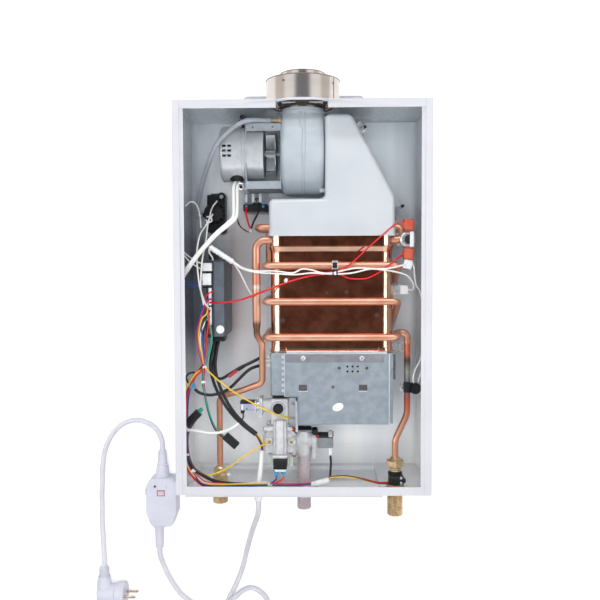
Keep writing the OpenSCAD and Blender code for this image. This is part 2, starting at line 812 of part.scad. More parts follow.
// Sheet hooks that hold the hood's top and right side to the back of the case
module hood_clips() {
  x1 = hood_right + seat;
  y0 = shoulder_y - 24;
  low = sheet_t + seat;
  high = sheet_t + plate_t + seat;
  color("#9aa0a6") {
    box([x1, x1 + plate_t], [y0, y0 + clip_w], [low, clip_z]);
    box([x1, x1 + clip_w], [y0, y0 + clip_w], [low, low + plate_t]);
    box([hood_flat_x - clip_w, hood_flat_x], [hood_top + seat, hood_top + seat + plate_t], [high, clip_z]);
    box([hood_flat_x - clip_w, hood_flat_x], [hood_top + seat, top - sheet_t - seat], [high, high + plate_t]);
  }
}

// Heat exchanger
jacket_back = hood_back + hood_t + 0.6;
jacket_front = jacket_back + jacket_d;
jacket_left = jacket_x - jacket_w / 2;
jacket_right = jacket_x + jacket_w / 2;
jacket_low = hood_bottom - jacket_h;
jacket_top = hood_bottom + 29;
jacket_z = (jacket_front + jacket_back) / 2;
bead_out = 1.2;
bead_h = 5;
bead_y = hood_bottom - 19;

module jacket_slice(y, out) {
  along_y(y) translate([jacket_x, jacket_z])
    round_rect(jacket_w + 2 * out, jacket_d + 2 * out, jacket_r + out);
}

module jacket() {
  color("#c98a66") difference() {
    union() {
      jacket_slice([jacket_low, jacket_top], 0);
      jacket_slice([bead_y, bead_y + bead_h], bead_out);
      jacket_slice([jacket_low, jacket_low + copper_t], bead_out * 2);
    }
    jacket_slice([jacket_low - cut, bead_y + copper_t], -copper_t);
    jacket_slice([bead_y + bead_h - copper_t, jacket_top + cut], -copper_t);
    jacket_slice([bead_y + copper_t / 2, bead_y + bead_h - copper_t / 2], bead_out - copper_t);
    for (p = fin_holes)
      bar_x([jacket_left - cut, jacket_right + cut], p.x, p.y, fin_tube_d / 2 + seat);
  }
}

// Tube rows in the fins as height and depth
row_y = hood_bottom + 12;
fin_rows = [[row_y, jacket_back + 17], [row_y, jacket_back + 40], [row_y, jacket_back + 76],
  [hood_bottom - 5, jacket_back + 88]];
fin_holes = fin_rows;
bend_out = 17;

module fin_block() {
  x0 = jacket_left + copper_t + seat + 2;
  x1 = jacket_right - copper_t - seat - 2;
  pitch = (x1 - x0 - fin_t) / (fins - 1);
  rim = copper_t + seat;
  y = [hood_bottom - 14, jacket_top - 2];
  color("#b9744f") difference() {
    union() {
      for (i = [0:fins - 1])
        box([x0 + i * pitch, x0 + i * pitch + fin_t], y,
          [jacket_back + rim, jacket_front - rim]);
      for (z = [jacket_back + rim, jacket_z, jacket_front - rim - fin_t])
        box([x0, x1], [y[0], y[0] + fin_t], [z, z + fin_t]);
    }
    for (p = fin_rows)
      bar_x([x0 - cut, x1 + cut], p.x, p.y, fin_tube_d / 2 + seat / 2);
    for (i = [-1, 1], j = [-1, 1])
      translate([jacket_x + i * jacket_w / 2, 0, jacket_z + j * jacket_d / 2])
        box([-jacket_r, jacket_r], y + [-cut, cut], [-jacket_r / 2, jacket_r / 2]);
  }
}

// One tube that runs through the fins and turns round outside the jacket
module fin_tube() {
  left = jacket_left - bend_out;
  right = jacket_right + bend_out - 4;
  a = fin_rows[0];
  b = fin_rows[1];
  c = fin_rows[2];
  d = fin_rows[3];
  route = [
    [jacket_left + 3, a.x, a.y], [right, a.x, a.y], [right, b.x, b.y], [left, b.x, b.y],
    [left, c.x, c.y], [right, c.x, c.y], [right, d.x, d.y], [jacket_left - 3, d.x, d.y]];
  color("#cf9270") tube(bent(route, fin_tube_d * 0.7, 5), fin_tube_d / 2, 12);
}

coil_gap = seat;
coil_left = jacket_left - coil_gap - coil_d / 2 - bead_out;
coil_right = jacket_right + coil_gap + coil_d / 2 + bead_out;
coil_front = jacket_front + coil_gap + coil_d / 2;
coil_back = jacket_back - coil_gap - coil_d / 2;
coil_bend_r = 12;
coil_low = jacket_low + 20;
coil_rise = 47;
inlet_x = 139.5;
inlet_top = coil_low + 4;
inlet_top_z = 104;

// Water tube wound three times round the jacket, each turn rising on the right side
module coil_tube() {
  turns = [
    for (i = [0:2])
      let (y = coil_low + i * coil_rise, up = i < 2 ? coil_rise : 0)
      each [[coil_right, y, coil_front], [coil_left, y, coil_front],
        if (i < 2) [coil_left, y, coil_back],
        if (i < 2) [coil_right, y, coil_back]]];
  start = [[inlet_x, inlet_top - 14, inlet_top_z], [inlet_x, inlet_top, inlet_top_z],
    [coil_right, inlet_top, inlet_top_z]];
  y3 = coil_low + 2 * coil_rise;
  a = fin_rows[0];
  end = [[coil_left, y3, a.y], [coil_left, a.x, a.y], [jacket_left + 3 - seam, a.x, a.y]];
  color("#cf9270") tube(bent(concat(start, turns, end), coil_bend_r / 1.6, 4), coil_d / 2, 12);
}

// Steel spring clip that holds the sensor leads on the upper run of the tube
clip_x = 41.5;
module wire_clip() {
  y = coil_low + 2 * coil_rise;
  r = coil_d / 2 + seat / 2;
  t = 1;
  color("#5c6066") difference() {
    union() {
      bar_x([clip_x - 4, clip_x + 4], y, coil_front, r + t);
      box([clip_x - 4, clip_x + 4], [y - r - 10, y - r + 2], [coil_front + r - 1, coil_front + r - 1 + t]);
    }
    bar_x([clip_x - 5, clip_x + 5], y, coil_front, r);
    box([clip_x - 5, clip_x + 5], [y - r * 2, y + r * 2], [jacket_back, coil_front - r / 2]);
  }
}

// Outlet pipe
hot_x = -115;
riser_x = jacket_left - 19;
reducer_y = jacket_low + 36;

module outlet_pipe() {
  d = fin_rows[3];
  z = d.y;
  slim_x = riser_x + 7;
  riser = bent([[jacket_left - 3 - seam, d.x, z], [riser_x, d.x, z], [riser_x, reducer_y, z]], 12, 5);
  slim = bent([[riser_x, reducer_y - 7, z], [riser_x, reducer_y - 14, z], [slim_x, reducer_y - 26, z],
    [slim_x, jacket_low - 43, z - 4], [slim_x - 32, jacket_low - 56, port_z + 4],
    [hot_x, jacket_low - 64, port_z], [hot_x, hot_nut_y, port_z]], 11, 5);
  widths = concat([for (i = riser) riser_d / 2], [for (i = slim) slim_d / 2]);
  color("#cf9270") tube(concat(riser, slim), widths, 12);
}

hot_nut_y = bottom + 11;
hot_nut_h = 10;
hot_end = bottom - 28;
wall_nut_h = 5;
bore_r = 6.5;

// Brass outlet with its nut inside and its thread below the case
module outlet_port() {
  r = water_thread_d / 2;
  color("#c79b4e") difference() {
    union() {
      bar_y(hot_x, [hot_end, hot_nut_y + seat], port_z, r - 3);
      bar_y(hot_x, [hot_end, bottom - pad_h - seat], port_z, r);
      bar_y(hot_x, [hot_end, bottom - pad_h + sheet_t * 2], port_z, r - seat);
      translate([hot_x, bottom - pad_h + sheet_t + seat, port_z]) rotate([-90, 0, 0])
        cylinder(h = wall_nut_h, r = r + 2.5, $fn = 6);
      translate([hot_x, hot_nut_y - 1, port_z]) rotate([-90, 0, 0])
        cylinder(h = hot_nut_h, r = 8.5, $fn = 6);
    }
    bar_y(hot_x, [hot_end - cut, hot_nut_y], port_z, bore_r);
    bar_y(hot_x, [hot_nut_y - 1, hot_nut_y + hot_nut_h + cut], port_z, slim_d / 2 + seam);
  }
}

// Cold inlet
cold_x = 122.5;
sensor_y = [bottom + 4, bottom + 20];
brass_y = [sensor_y[1] + seat, sensor_y[1] + 7];
cold_nut_y = [brass_y[1], brass_y[1] + 9];
cold_end = bottom - 39;
sensor_r = 9.5;
turbine_r = 7;

module inlet_pipe() {
  route = [[cold_x, cold_nut_y[0] + 2, cold_z], [cold_x, bottom + 62, cold_z], [inlet_x, bottom + 96, inlet_top_z],
    [inlet_x, inlet_top - 14 - seam, inlet_top_z]];
  color("#cf9270") tube(bent(route, 24, 5), inlet_d / 2, 12);
}

module inlet_port() {
  r = water_thread_d / 2;
  color("#c79b4e") difference() {
    union() {
      bar_y(cold_x, [cold_end, sensor_y[0] - seat], cold_z, r);
      bar_y(cold_x, [bottom + sheet_t + seam, sensor_y[0] - seat], cold_z, r + 2);
      translate([cold_x, bottom - seam - wall_nut_h, cold_z]) rotate([-90, 0, 0])
        cylinder(h = wall_nut_h, r = r + 3, $fn = 6);
      bar_y(cold_x, brass_y, cold_z, 8);
      translate([cold_x, cold_nut_y[0], cold_z]) rotate([-90, 0, 0])
        cylinder(h = cold_nut_y[1] - cold_nut_y[0], r = 11.5, $fn = 6);
    }
    bar_y(cold_x, [cold_end - cut, sensor_y[0]], cold_z, bore_r);
    bar_y(cold_x, [brass_y[0] - cut, cold_nut_y[1] + cut], cold_z, inlet_d / 2 + seam);
  }
}

axle_r = 1;
axle_gap = 0.05;

// Black flow sensor between the port and the brass nut
module flow_sensor() {
  color("#1d1e21") difference() {
    union() {
      bar_y(cold_x, sensor_y, cold_z, sensor_r);
      box([cold_x - 6, cold_x + 6], [sensor_y[0] + 2, sensor_y[1] - 3], [cold_z, cold_z + sensor_r + 7]);
    }
    bar_y(cold_x, [sensor_y[0] + 3, sensor_y[1] - 3], cold_z, turbine_r + 1);
    bar_y(cold_x, [sensor_y[0] + 1, sensor_y[1] - 1], cold_z, axle_r + axle_gap);
    for (i = [-1, 1])
      bar_y(cold_x + i * 4.5, [sensor_y[0] - cut, sensor_y[1] + cut], cold_z, 1);
  }
}

// Bladed rotor that the water turns
module flow_turbine() {
  y = [sensor_y[0] + 3.5, sensor_y[1] - 3.5];
  color("#e8e4da") {
    bar_y(cold_x, [sensor_y[0] + 1.5, sensor_y[1] - 1.5], cold_z, axle_r);
    bar_y(cold_x, y, cold_z, 3);
    for (a = [0:60:300])
      translate([cold_x, 0, cold_z]) rotate([0, a, 0]) box([2, turbine_r], y, [-0.5, 0.5]);
  }
}

// Overheat switch on the upper right bend and flow sensor on the side of the jacket
stat_x = jacket_right + bend_out - 4 + fin_tube_d / 2 + seat;
boot_w = 14;
stat_half = 13;
probe_y = [3, 18];

module heat_sensors() {
  z = fin_rows[3].y;
  y = fin_rows[3].x;
  x = stat_x;
  px = jacket_right + seat;
  color("#8a8d91") box([x, x + 4], [y - stat_half, y + stat_half], [z - 8, z + 8]);
  color("#2c2d30") {
    bar_x([x + 4, x + 8], y, z, 9);
    box([px, px + 12], probe_y, [94, 106]);
  }
  color("#c8573f")
    for (i = [y + stat_half, y - stat_half - boot_w])
      box([x - 4, x + 8], [i, i + boot_w], [z + 1, z + 13]);
  color("#eceded") {
    box([x, x + 7], [y - stat_half, y + stat_half], [z + 9, z + 12]);
    box([x - 5, x + 6], [y - 38, y - stat_half - boot_w], [z + 2, z + 12]);
    box([px + 12, px + 22], probe_y + [2, -2], [96, 105]);
  }
}

frost_y = top - 373;

// Frost switch clipped on the inlet pipe
module frost_stat() {
  r = inlet_d / 2 + seat / 2;
  color("#9b9ea2") difference() {
    bar_y(inlet_x, [frost_y - 6, frost_y + 6], inlet_top_z, r + 1.5);
    bar_y(inlet_x, [frost_y - 7, frost_y + 7], inlet_top_z, r);
    box([inlet_x - 12, inlet_x - 2], [frost_y - 7, frost_y + 7], [inlet_top_z - 12, inlet_top_z + 2]);
  }
  color("#141517") {
    translate([inlet_x + r + 1, frost_y, inlet_top_z + 4]) rotate([0, 60, 0])
      cylinder(h = 11, r = 7.5);
    box([inlet_x - 6, inlet_x + 6], [frost_y - 6, frost_y + 6], [inlet_top_z + r + 1.5, inlet_top_z + r + 7]);
  }
}

// Burner
burner_top = jacket_low - seat;
burner_low = burner_top - burner_h;
burner_left = jacket_left;
burner_right = jacket_right;
burner_z = [28, burner_front - burner_t - seat];
corner_cut = [36, 36];
strip_h = 10;
plate_left = -25;
step_x = -7;
step_y = burner_top - 57;
window_w = 11;
window_h = 9;

module burner_box() {
  t = burner_t;
  inner_z = [burner_z[0] + t, burner_z[1] - t];
  color("#9ba3a9") difference() {
    union() {
      box([burner_left, burner_right], [burner_low, burner_top], burner_z);
      for (x = [burner_left, burner_right])
        box([x - clip_w / 2, x + clip_w / 2], [burner_top - 50, burner_top - 20],
          [sheet_t + seat, burner_z[0] + t]);
    }
    box([burner_left + t, burner_right - t], [burner_low + t, burner_top + cut], inner_z);
    box([burner_left - cut, step_x], [burner_low - cut, step_y], [-cut, case_d]);
    for (x = [-1, 1])
      box([x < 0 ? burner_left - clip_w : burner_right + t, x < 0 ? burner_left - t : burner_right + clip_w],
        [burner_low, burner_top], [sheet_t + seat + t, burner_z[0] + t + cut]);
    box([burner_left + t, burner_right - t], [burner_top - 50 - cut, burner_top - 20 + cut],
      [sheet_t + seat - cut, burner_z[0]]);
    for (p = electrode_places)
      bar_x([burner_left - cut, burner_left + t + cut], p.x, p.y, ceramic_r + seat);
    for (p = windows)
      box([p.x, p.x + window_w], [p.y, p.y + window_h], [burner_z[1] - t - cut, burner_z[1] + cut]);
    box([step_x + t, burner_right - t], [burner_low - cut, burner_low + t + cut], inner_z + [8, -30]);
  }
  color("#9ba3a9") {
    box([burner_left, step_x + t], [step_y, step_y + t], burner_z);
    box([step_x, step_x + t], [burner_low, step_y + t], burner_z);
  }
}

windows = [[-6, burner_top - 51], [73, burner_top - 51]];
hole_places = [for (i = [0:2], j = [0:1]) [58 + i * 6.8, burner_top - 18 - j * 6.5]];
plate_screws = [[47, burner_top - 20], [83.5, burner_top - 20], [39, burner_top - 45]];
strip_screws = [[0, burner_top - 7], [77, burner_top - 7]];

// Front plate with folded edges, two windows and a row of air holes
module burner_plate() {
  f = burner_front;
  t = burner_t;
  right = 113.5;
  low = burner_low;
  color("#aeb5bb") difference() {
    union() {
      box([plate_left, right], [step_y, burner_top - seat], [f - t, f]);
      box([step_x, right], [low, step_y + t], [f - t, f]);
      box([right - t, right], [low, burner_top - seat], [f - t, f + 3]);
      box([step_x, step_x + t], [low, step_y], [f - t, f + 3]);
      box([plate_left, plate_left + t], [step_y, burner_top - seat], [f - t, f + 3]);
    }
    for (p = windows)
      box([p.x, p.x + window_w], [p.y, p.y + window_h], [f - t - cut, f + cut]);
    for (p = hole_places)
      bar_z(p.x, p.y, [f - t - cut, f + cut], 1.4);
  }
  color("#8e949b")
    box([plate_left + t, right - 8], [burner_top - 2 - strip_h, burner_top - 2], [f, f + t]);
  color("#c9cdd0") {
    screws_z(strip_screws, f + t, 3.2);
    screws_z(plate_screws, f, 2);
  }
}

// Row of flat burners with slots along their top edges
module burner_bars() {
  x0 = step_x + burner_t + 3;
  x1 = burner_right - burner_t - 3;
  pitch = (x1 - x0) / burner_bars_n;
  bar_w = pitch * 0.6;
  y = [burner_low + 22, burner_low + 62];
  z = [burner_z[0] + burner_t + seat, burner_z[1] - burner_t - seat];
  color("#74787c") {
    for (i = [0:burner_bars_n - 1])
      difference() {
        box([x0 + i * pitch, x0 + i * pitch + bar_w], y, z);
        box([x0 + i * pitch + bar_w / 3, x0 + i * pitch + bar_w * 2 / 3], [y[1] - 6, y[1] + cut],
          z + [6, -6]);
      }
    for (w = [z[0] + 4, z[1] - 6])
      box([x0, x1 - pitch + bar_w], [y[0] + 10, y[0] + 14], [w, w + 2]);
  }
}

// Gas rail under the burners with a nozzle for each
module nozzle_rail() {
  x0 = step_x + burner_t + 3;
  x1 = burner_right - burner_t - 3;
  pitch = (x1 - x0) / burner_bars_n;
  y = burner_low + 8;
  z = burner_z[1] - 20;
  color("#b4b8bb") {
    box([step_x + burner_t + seat, burner_right - burner_t - seat], [y - 5, y + 5], [z - 8, z + 8]);
    for (i = [0:burner_bars_n - 1])
      difference() {
        bar_y(x0 + (i + 0.3) * pitch, [y + 5, y + 11], z, 2.5);
        bar_y(x0 + (i + 0.3) * pitch, [y + 8, y + 11 + cut], z, 1);
      }
  }
}

electrode_places = [[burner_top - 9, 98], [burner_top - 20, 98]];
ceramic_r = 3;

// Spark and flame rods in their ceramics
module electrodes() {
  for (p = electrode_places) {
    color("#f0efec") {
      bar_x([burner_left - 13, burner_left + 12], p.x, p.y, ceramic_r);
      bar_x([burner_left - 6, burner_left - seam], p.x, p.y, ceramic_r + 1.4);
    }
    color("#9c9c9c") bar_x([burner_left + 12, burner_left + 34], p.x, p.y, 1);
  }
}

// Gas valve
gas_x = 0;
valve_x = -31.5;
valve_top = burner_top - 64;
column_low = valve_top - 77;
block_z = [70, 111];
column_z = [97, 129];
mid_z = [74, 106];
manifold_x = [-21, -9];

module gas_valve() {
  block_x = [-56, manifold_x[0]];
  c = column_z;
  color("#c9cbcd") {
    box([valve_x - 11, block_x[1]], [valve_top - 36, valve_top], block_z);
    bar_x([block_x[0], valve_x - 8], valve_top - 11, block_z[1] - 12, 9);
    bar_z(valve_x - 2.5, valve_top - 13, [block_z[1] - 1, block_z[1] + 3], 8.5);
    box([valve_x - 8.5, valve_x + 8.5], [column_low + 3, valve_top - 28], [c[0], c[1] - 6]);
    box([valve_x - 5, valve_x + 5], [column_low + 3, valve_top - 28], [c[1] - 7, c[1]]);
    box([valve_x - 10, valve_x + 10], [column_low, column_low + 4], [c[0] - 10, c[1]]);
    regulator_body();
    for (i = [-1, 1]) {
      bar_z(valve_x + i * 15, valve_top - 59, [mid_z[0], mid_z[1] + 2], 6);
      bar_z(valve_x + i * 17, valve_top - 73, [mid_z[0], mid_z[1] - 4], 4);
      bar_x(i > 0 ? [valve_x + 8, valve_x + 17] : [valve_x - 22, valve_x - 8], valve_top - 41,
        112, 3.6);
    }
  }
  color("#19191b") bar_z(valve_x - 2.5, valve_top - 13, [block_z[1] + 3, block_z[1] + 6], 7);
  color("#b9bec2") {
    box(manifold_x, [valve_top - 42, valve_top], [102, 103.5]);
    box([step_x - 2 - burner_t, step_x - 2], [valve_top - 42, valve_top], [102, 126]);
    box([step_x - 2 - burner_t, step_x - seat], [valve_top - 42, valve_top], [124, 126]);
    box([manifold_x[1] - cut, step_x - 2], [valve_top - 42, valve_top], [102, 103.5]);
  }
  color("#d3d6d8") screws_z([[-15.5, valve_top - 8], [-15.5, valve_top - 27]], 103.5, 3.4);
  color("#b98d45") screws_z([for (i = [-1, 1]) [valve_x + i * 15, valve_top - 59]], mid_z[1] + 2, 3.2);
}

// Regulator body that widens to its lower flange
module regulator_body() {
  w = 12;
  translate([valve_x, 0, mid_z[0]]) linear_extrude(mid_z[1] - mid_z[0])
    polygon([[-w, valve_top - 34], [w, valve_top - 34], [w * 1.7, valve_top - 54], [w * 1.75, valve_top - 74],
      [-w * 1.9, valve_top - 74], [-w * 1.8, valve_top - 54]]);
}

// Main solenoid under the column with its two terminals
module valve_coil() {
  y1 = column_low - seam;
  z = [column_z[0] - 2, column_z[1] + 1];
  color("#18191b") box([valve_x - 8.5, valve_x + 9], [y1 - 14.5, y1], z);
  color("#eeeeee") box([valve_x - 7, valve_x + 8], [y1 - 18, y1 - 14.5], z + [8, -4]);
  color("#34a7d8")
    for (x = [valve_x - 5, valve_x + 4])
      bar_y(x, [y1 - 23.5, y1 - 18], column_z[1] - 8, 2.6);
}

// The two small solenoids on the left and on the right of the valve
module side_solenoids() {
  y = valve_top - 11;
  z = block_z[1] - 12;
  color("#b4b6c4") {
    box([-86, -64], [y - 5, y + 4], [z - 10, z + 8]);
    bar_x([-64, -56 - seat], y, z, 7);
    box([-59, -57], [y - 14, y + 12], [z - 9, z + 9]);
  }
  color("#161618") {
    box([-86, -64], [y + 4, y + 7], [z - 8, z + 8]);
    box([-85, -80], [y - 9, y - 5], [z, z + 10]);
  }
  color("#a5aaac") {
    box([18 + seat, 40], [gas_elbow_y - 10, gas_elbow_y + 4], [port_z - 10, port_z + 7]);
    bar_y(35.5, [gas_elbow_y - 19, gas_elbow_y - 10], port_z - 3, 3);
  }
  color("#161618") {
    box([18 + seat, 36], [gas_elbow_y + 4, gas_elbow_y + 9], [port_z - 8, port_z + 6]);
    bar_x([36, 40], gas_elbow_y + 8, port_z, 5);
  }
}

gas_elbow_y = valve_top - 59;
gas_end = bottom - 36;

// Cast elbow between the valve and the upright gas pipe
module gas_elbow() {
  color("#c4c5c7") difference() {
    union() {
      bar_x([valve_x + 21.2, 18], gas_elbow_y, port_z, 11);
      bar_y(gas_x, [gas_elbow_y - 22, gas_elbow_y + 13], port_z, gas_pipe_d / 2 + 0.9);
      box([11, 17], [gas_elbow_y - 24, gas_elbow_y + 8], [port_z - 8, port_z + 13]);
    }
    bar_y(gas_x, [gas_elbow_y - 22 - cut, gas_elbow_y - 4], port_z, gas_pipe_d / 2 + seam);
  }
  color("#1b1b1d") box([-12, 12.5], [gas_elbow_y + 13, gas_elbow_y + 17], [port_z - 11, port_z + 11]);
  color("#1b1b1d") bar_z(14, gas_elbow_y + 12, [port_z - 4, port_z + 14], 4);
}

module gas_pipe() {
  r = gas_pipe_d / 2;
  color("#bfc1c4") difference() {
    union() {
      bar_y(gas_x, [bottom - pad_h + sheet_t + seat, gas_elbow_y - 4 - seat], port_z, r);
      bar_y(gas_x, [gas_end, bottom - pad_h - seat], port_z, gas_thread_d / 2);
      bar_y(gas_x, [gas_end, bottom - pad_h + sheet_t * 2], port_z, gas_thread_d / 2 - seat);
      translate([gas_x, bottom - pad_h + sheet_t + seat, port_z]) rotate([-90, 0, 0])
        cylinder(h = wall_nut_h, r = gas_thread_d / 2 + 2.5, $fn = 6);
    }
    bar_y(gas_x, [gas_end - cut, gas_elbow_y], port_z, bore_r);
  }
}

// Controls
control_x = [-side + 32, -side + 56];
control_y = [-55, 52];
control_z = [sheet_t + seat, 95];

module control_box() {
  color("#474c56") {
    box(control_x, control_y, control_z);
    box([control_x[0] + 12, control_x[1] + 2], control_y + [2, -3], [control_z[0] + 6, control_z[1] + 2]);
  }
  color("#1a1b1e") box([control_x[0] + 3, control_x[0] + 14], [control_y[1], control_y[1] + 10], [40, 84]);
  color("#eceded") bar_z(control_x[1] - 4, -43, [control_z[1] + 2, control_z[1] + 2.4], 5.3);
}

module control_plugs() {
  x = control_x[0];
  z0 = control_z[1] + seat;
  h = control_y[1] - control_y[0];
  color("#eceeee") {
    box([x - 3, x + 10], [control_y[0] + h * 0.853, control_y[0] + h * 0.955], [z0, z0 + 8]);
    box([x - 3, x + 9], [control_y[0] + h * 0.677, control_y[0] + h * 0.825], [z0, z0 + 8]);
    box([x + 5, x + 9], [control_y[0] + h * 0.17, control_y[0] + h * 0.64], [z0, z0 + 6]);
  }
  color("#c22a26") box([x + 4, x + 9], [control_y[0] + h * 0.055, control_y[0] + h * 0.165], [z0, z0 + 6]);
}

// Routes of the wiring, held in place along their whole length
loom_r = 3.2;
wire_r = 1.1;
sleeve_r = 4;
loom_main = [[-129, -3, 104.8], [-133, -19, 107], [-137, -43, 108], [-138, -70, 108], [-137, -90, 109],
  [-145, -108, 110], [-153, -126, 112], [-158, -150, 114], [-159, -177, 116], [-157, -203, 119],
  [-150, -221, 123], [-139, -234, 127], [-122, -243, 131], [-100, -245, 134], [-50, -245, 135],
  [-1, -244, 134], [18, -242, 130], [32, -238, 125]];
loom_plug = [[-134, -97, 111], [-130, -117, 112], [-130, -139, 114], [-125, -162, 115],
  [-116, -180, 114], [-105, -191, 112]];

module loom() {
  color("#33363c") {
    tube(loom_main, loom_r);
    tube(loom_plug, loom_r * 0.75);
    translate([-102, -194, 111]) rotate([0, 0, -42]) cube([11, 11, 7], center = true);
  }
}

supply_a = [[-122, -56.6, 70], [-125, -74, 80], [-122, -94, 92], [-112, -116, 103], [-97, -140, 113],
  [-81, -162, 114], [-69, -184, 105], [-64, -197, 100]];
supply_b = [[-116, -56.6, 70], [-118, -74, 80], [-115, -94, 92], [-105, -116, 103], [-90, -140, 113],
  [-74, -162, 114], [-62, -184, 105], [-58, -197, 100]];
supply_sheath = [[-60, -198, 100], [-60, -214, 104], [-60, -228, 110], [-61, -239, 117],
  [-61, -249, 118]];
motor_sleeve = [[-89, 164.8, 81], [-89, 153, 81], [-91, 144, 89], [-90, 130, 104], [-90, 112, 114],
  [-97, 95, 118], [-108, 80, 121], [-122, 65, 124], [-137, 50, 126], [-150, 37, 126], [-159.7, 28, 123]];
switch_leads = [[-136, 108, 35.2], [-142, 104, 50], [-146, 90, 74], [-146, 68, 100], [-146, 48, 112],
  [-144, 24, 112], [-140, 6, 110], [-135.3, -9, 105.5]];
red_upper = [[-126, -5, 102.5], [-118, -5, 106], [-104, -4, 112], [-76, 1, 122], [-53, 9, 130],
  [-22, 24, 134], [9, 31, 136], [35, 35, 136.5], [46, 39, 137.5], [61, 50, 138], [87, 69, 137],
  [112, 88, 133], [124, 95, 128], [131.7, 97, 124]];
red_lower = [[35, 32.6, 136.4], [50, 28, 136], [66, 25, 135], [80, 27, 135], [96, 33, 136], [110, 41, 136.8],
  [118, 48, 136.8], [125, 52, 131], [131.6, 56, 124]];
white_upper = [[-91, 50, 119], [-76, 44, 127], [-55, 39, 134], [-23, 38, 138], [9, 39, 139], [39, 38, 139.5],
  [67, 40, 139], [98, 38, 138], [118, 38, 137.5], [127, 39, 135], [133, 42.5, 131.5], [135, 44, 129],
  [135, 44, 126.8]];
white_lower = [[-96, 45, 119], [-78, 37, 126], [-58, 31, 132], [-23, 32, 136], [9, 35.5, 138.5],
  [39, 35, 139], [71, 34, 138], [106, 30, 137], [128, 28, 135], [144, 26, 129], [151, 20, 119],
  [150, 13, 109], [145, 11, 104], [140.6, 11, 103]];
crimp_lead = [[-110, 59.5, 117], [-114, 60, 112], [-116, 56, 104], [-119, 52, 100], [-122.7, 51, 99.5]];
earth_upper = [[-136, -92, 112.9], [-112, -110, 118], [-84, -126, 122], [-60, -140, 124], [-42, -152, 124],
  [-28, -158, 120], [-19, -160, 113.5], [-16, -161.7, 106]];
earth_lower = [[-47.5, -195, 110.9], [-57, -199, 110], [-68, -204, 112], [-86, -213, 114],
  [-104, -226, 115], [-122, -233, 118], [-138, -233.5, 122.5]];
spark_a = [[-57.1, -80.3, 98], [-70, -84, 102], [-84, -94, 105], [-98, -102, 103], [-110, -104, 96],
  [-115, -96, 84], [-118, -82, 74], [-116, -68, 66], [-114, -56.3, 62]];
spark_b = [[-57.1, -91.3, 98], [-70, -98, 104], [-84, -110, 110], [-98, -120, 115], [-112, -126, 118],
  [-126, -127, 120], [-136, -124.5, 119.5], [-145.2, -120.4, 113.7]];
side_lead = [[-155, -171, 121], [-139, -180, 120], [-119, -178, 120], [-99, -173, 118], [-90, -166, 113],
  [-83, -162, 107], [-82.5, -156.4, 104]];
right_lead = [[35.5, -213.9, 92], [35.5, -222, 95], [36, -232, 106], [40, -239, 116], [55, -240, 122],
  [75, -240, 125], [95, -242, 125], [116.2, -242, 122]];
blue_lead = [[-162, 23, 104], [-154, 20, 104], [-146, 22, 103], [-136.8, 25, 101]];
coil_lead_a = [[-45, -240.9, 133], [-41, -241.5, 128], [-36.5, -241, 122], [-36.5, -236.2, 121]];
coil_lead_b = [[-38, -240.9, 133], [-33, -241.5, 128], [-27.5, -241, 122], [-27.5, -236.2, 121]];
frost_lead = [[141, 15, 98], [150, 14, 92], [158, 8, 80], [161, -20, 60], [161, -61, 60], [160, -88, 80],
  [161, -104, 100], [160, -115, 112], [155.6, -119.7, 114]];

module leads() {
  color("#e9e9ea") {
    tube(motor_sleeve, sleeve_r);
    tube(supply_sheath, sleeve_r - 0.4);
    tube(white_upper, wire_r);
    tube(white_lower, wire_r);
    tube(switch_leads, wire_r);
    tube(side_lead, wire_r * 1.6);
    tube(crimp_lead, wire_r);
    tube(frost_lead, wire_r);
    translate([-101, 54, 117]) rotate([0, 0, -32]) cube([24, 7, 7], center = true);
  }
  color("#d8262c") {
    tube(red_upper, wire_r);
    tube(red_lower, wire_r);
    tube(coil_lead_a, wire_r);
    tube(coil_lead_b, wire_r);
  }
  color("#e3c53c") {
    tube(earth_upper, wire_r);
    tube(earth_lower, wire_r);
  }
  color("#1c1d1f") {
    tube(supply_a, 2.7);
    tube(supply_b, 2.7);
    tube(spark_a, 2.1);
    tube(spark_b, 2.1);
    tube(right_lead, wire_r * 1.4);
  }
  color("#2c4fa0") tube(blue_lead, wire_r * 1.5);
}

// Mains cord
gland_x = -61;
gland_z = 118;
gland_r = 7;
cord_r = cord_d / 2;

// Clamp gland in the bottom panel
module cord_gland() {
  low = bottom - pad_h;
  color("#e4e5ea") difference() {
    union() {
      bar_y(gland_x, [low - 10, low + sheet_t + 4], gland_z, gland_r);
      bar_y(gland_x, [low - seam - 3, low - seam], gland_z, gland_r + 2.5);
      cone_y(gland_x, [low - 13, low - 9], gland_z, gland_r - 1.5, gland_r);
      bar_y(gland_x, [low + sheet_t + seam, low + sheet_t + seam + 3], gland_z, gland_r + 2);
    }
    bar_y(gland_x, [low - 13 - cut, low + sheet_t + 4 + cut], gland_z, cord_r);
  }
}

// Cord from the gland down to the floor and on to the coil
cord_first = [[-61, -249.3, 118], [-61, -272, 118], [-61, -284, 115], [-63, -296, 107], [-67, -308, 95],
  [-71, -321, 80], [-75, -335, 62], [-79, -350, 44], [-83, -365, 28], [-87, -381, 15], [-91, -398, 7],
  [-96, -416, 4], [-102, -431, 4], [-109, -446, 4], [-116, -460, 4], [-122, -474, 4], [-127, -488, 4]];
// Cord from the coil, over itself and on to the breaker
cord_second = [[-50, -495, 12.6], [-50, -482, 11], [-54, -468, 8], [-61, -455, 4],
  [-71, -446, 4], [-83, -442, 4], [-95, -446, 6], [-105, -453, 10], [-115, -461, 12], [-125, -469, 10],
  [-137, -475, 6], [-150, -475, 4], [-163, -471, 4], [-176, -462, 4], [-188, -452, 4],
  [-197, -440, 4], [-206, -425, 4], [-213, -408, 6], [-217, -392, 11], [-217.5, -380, 14],
  [-217.5, -366.2, 14]];

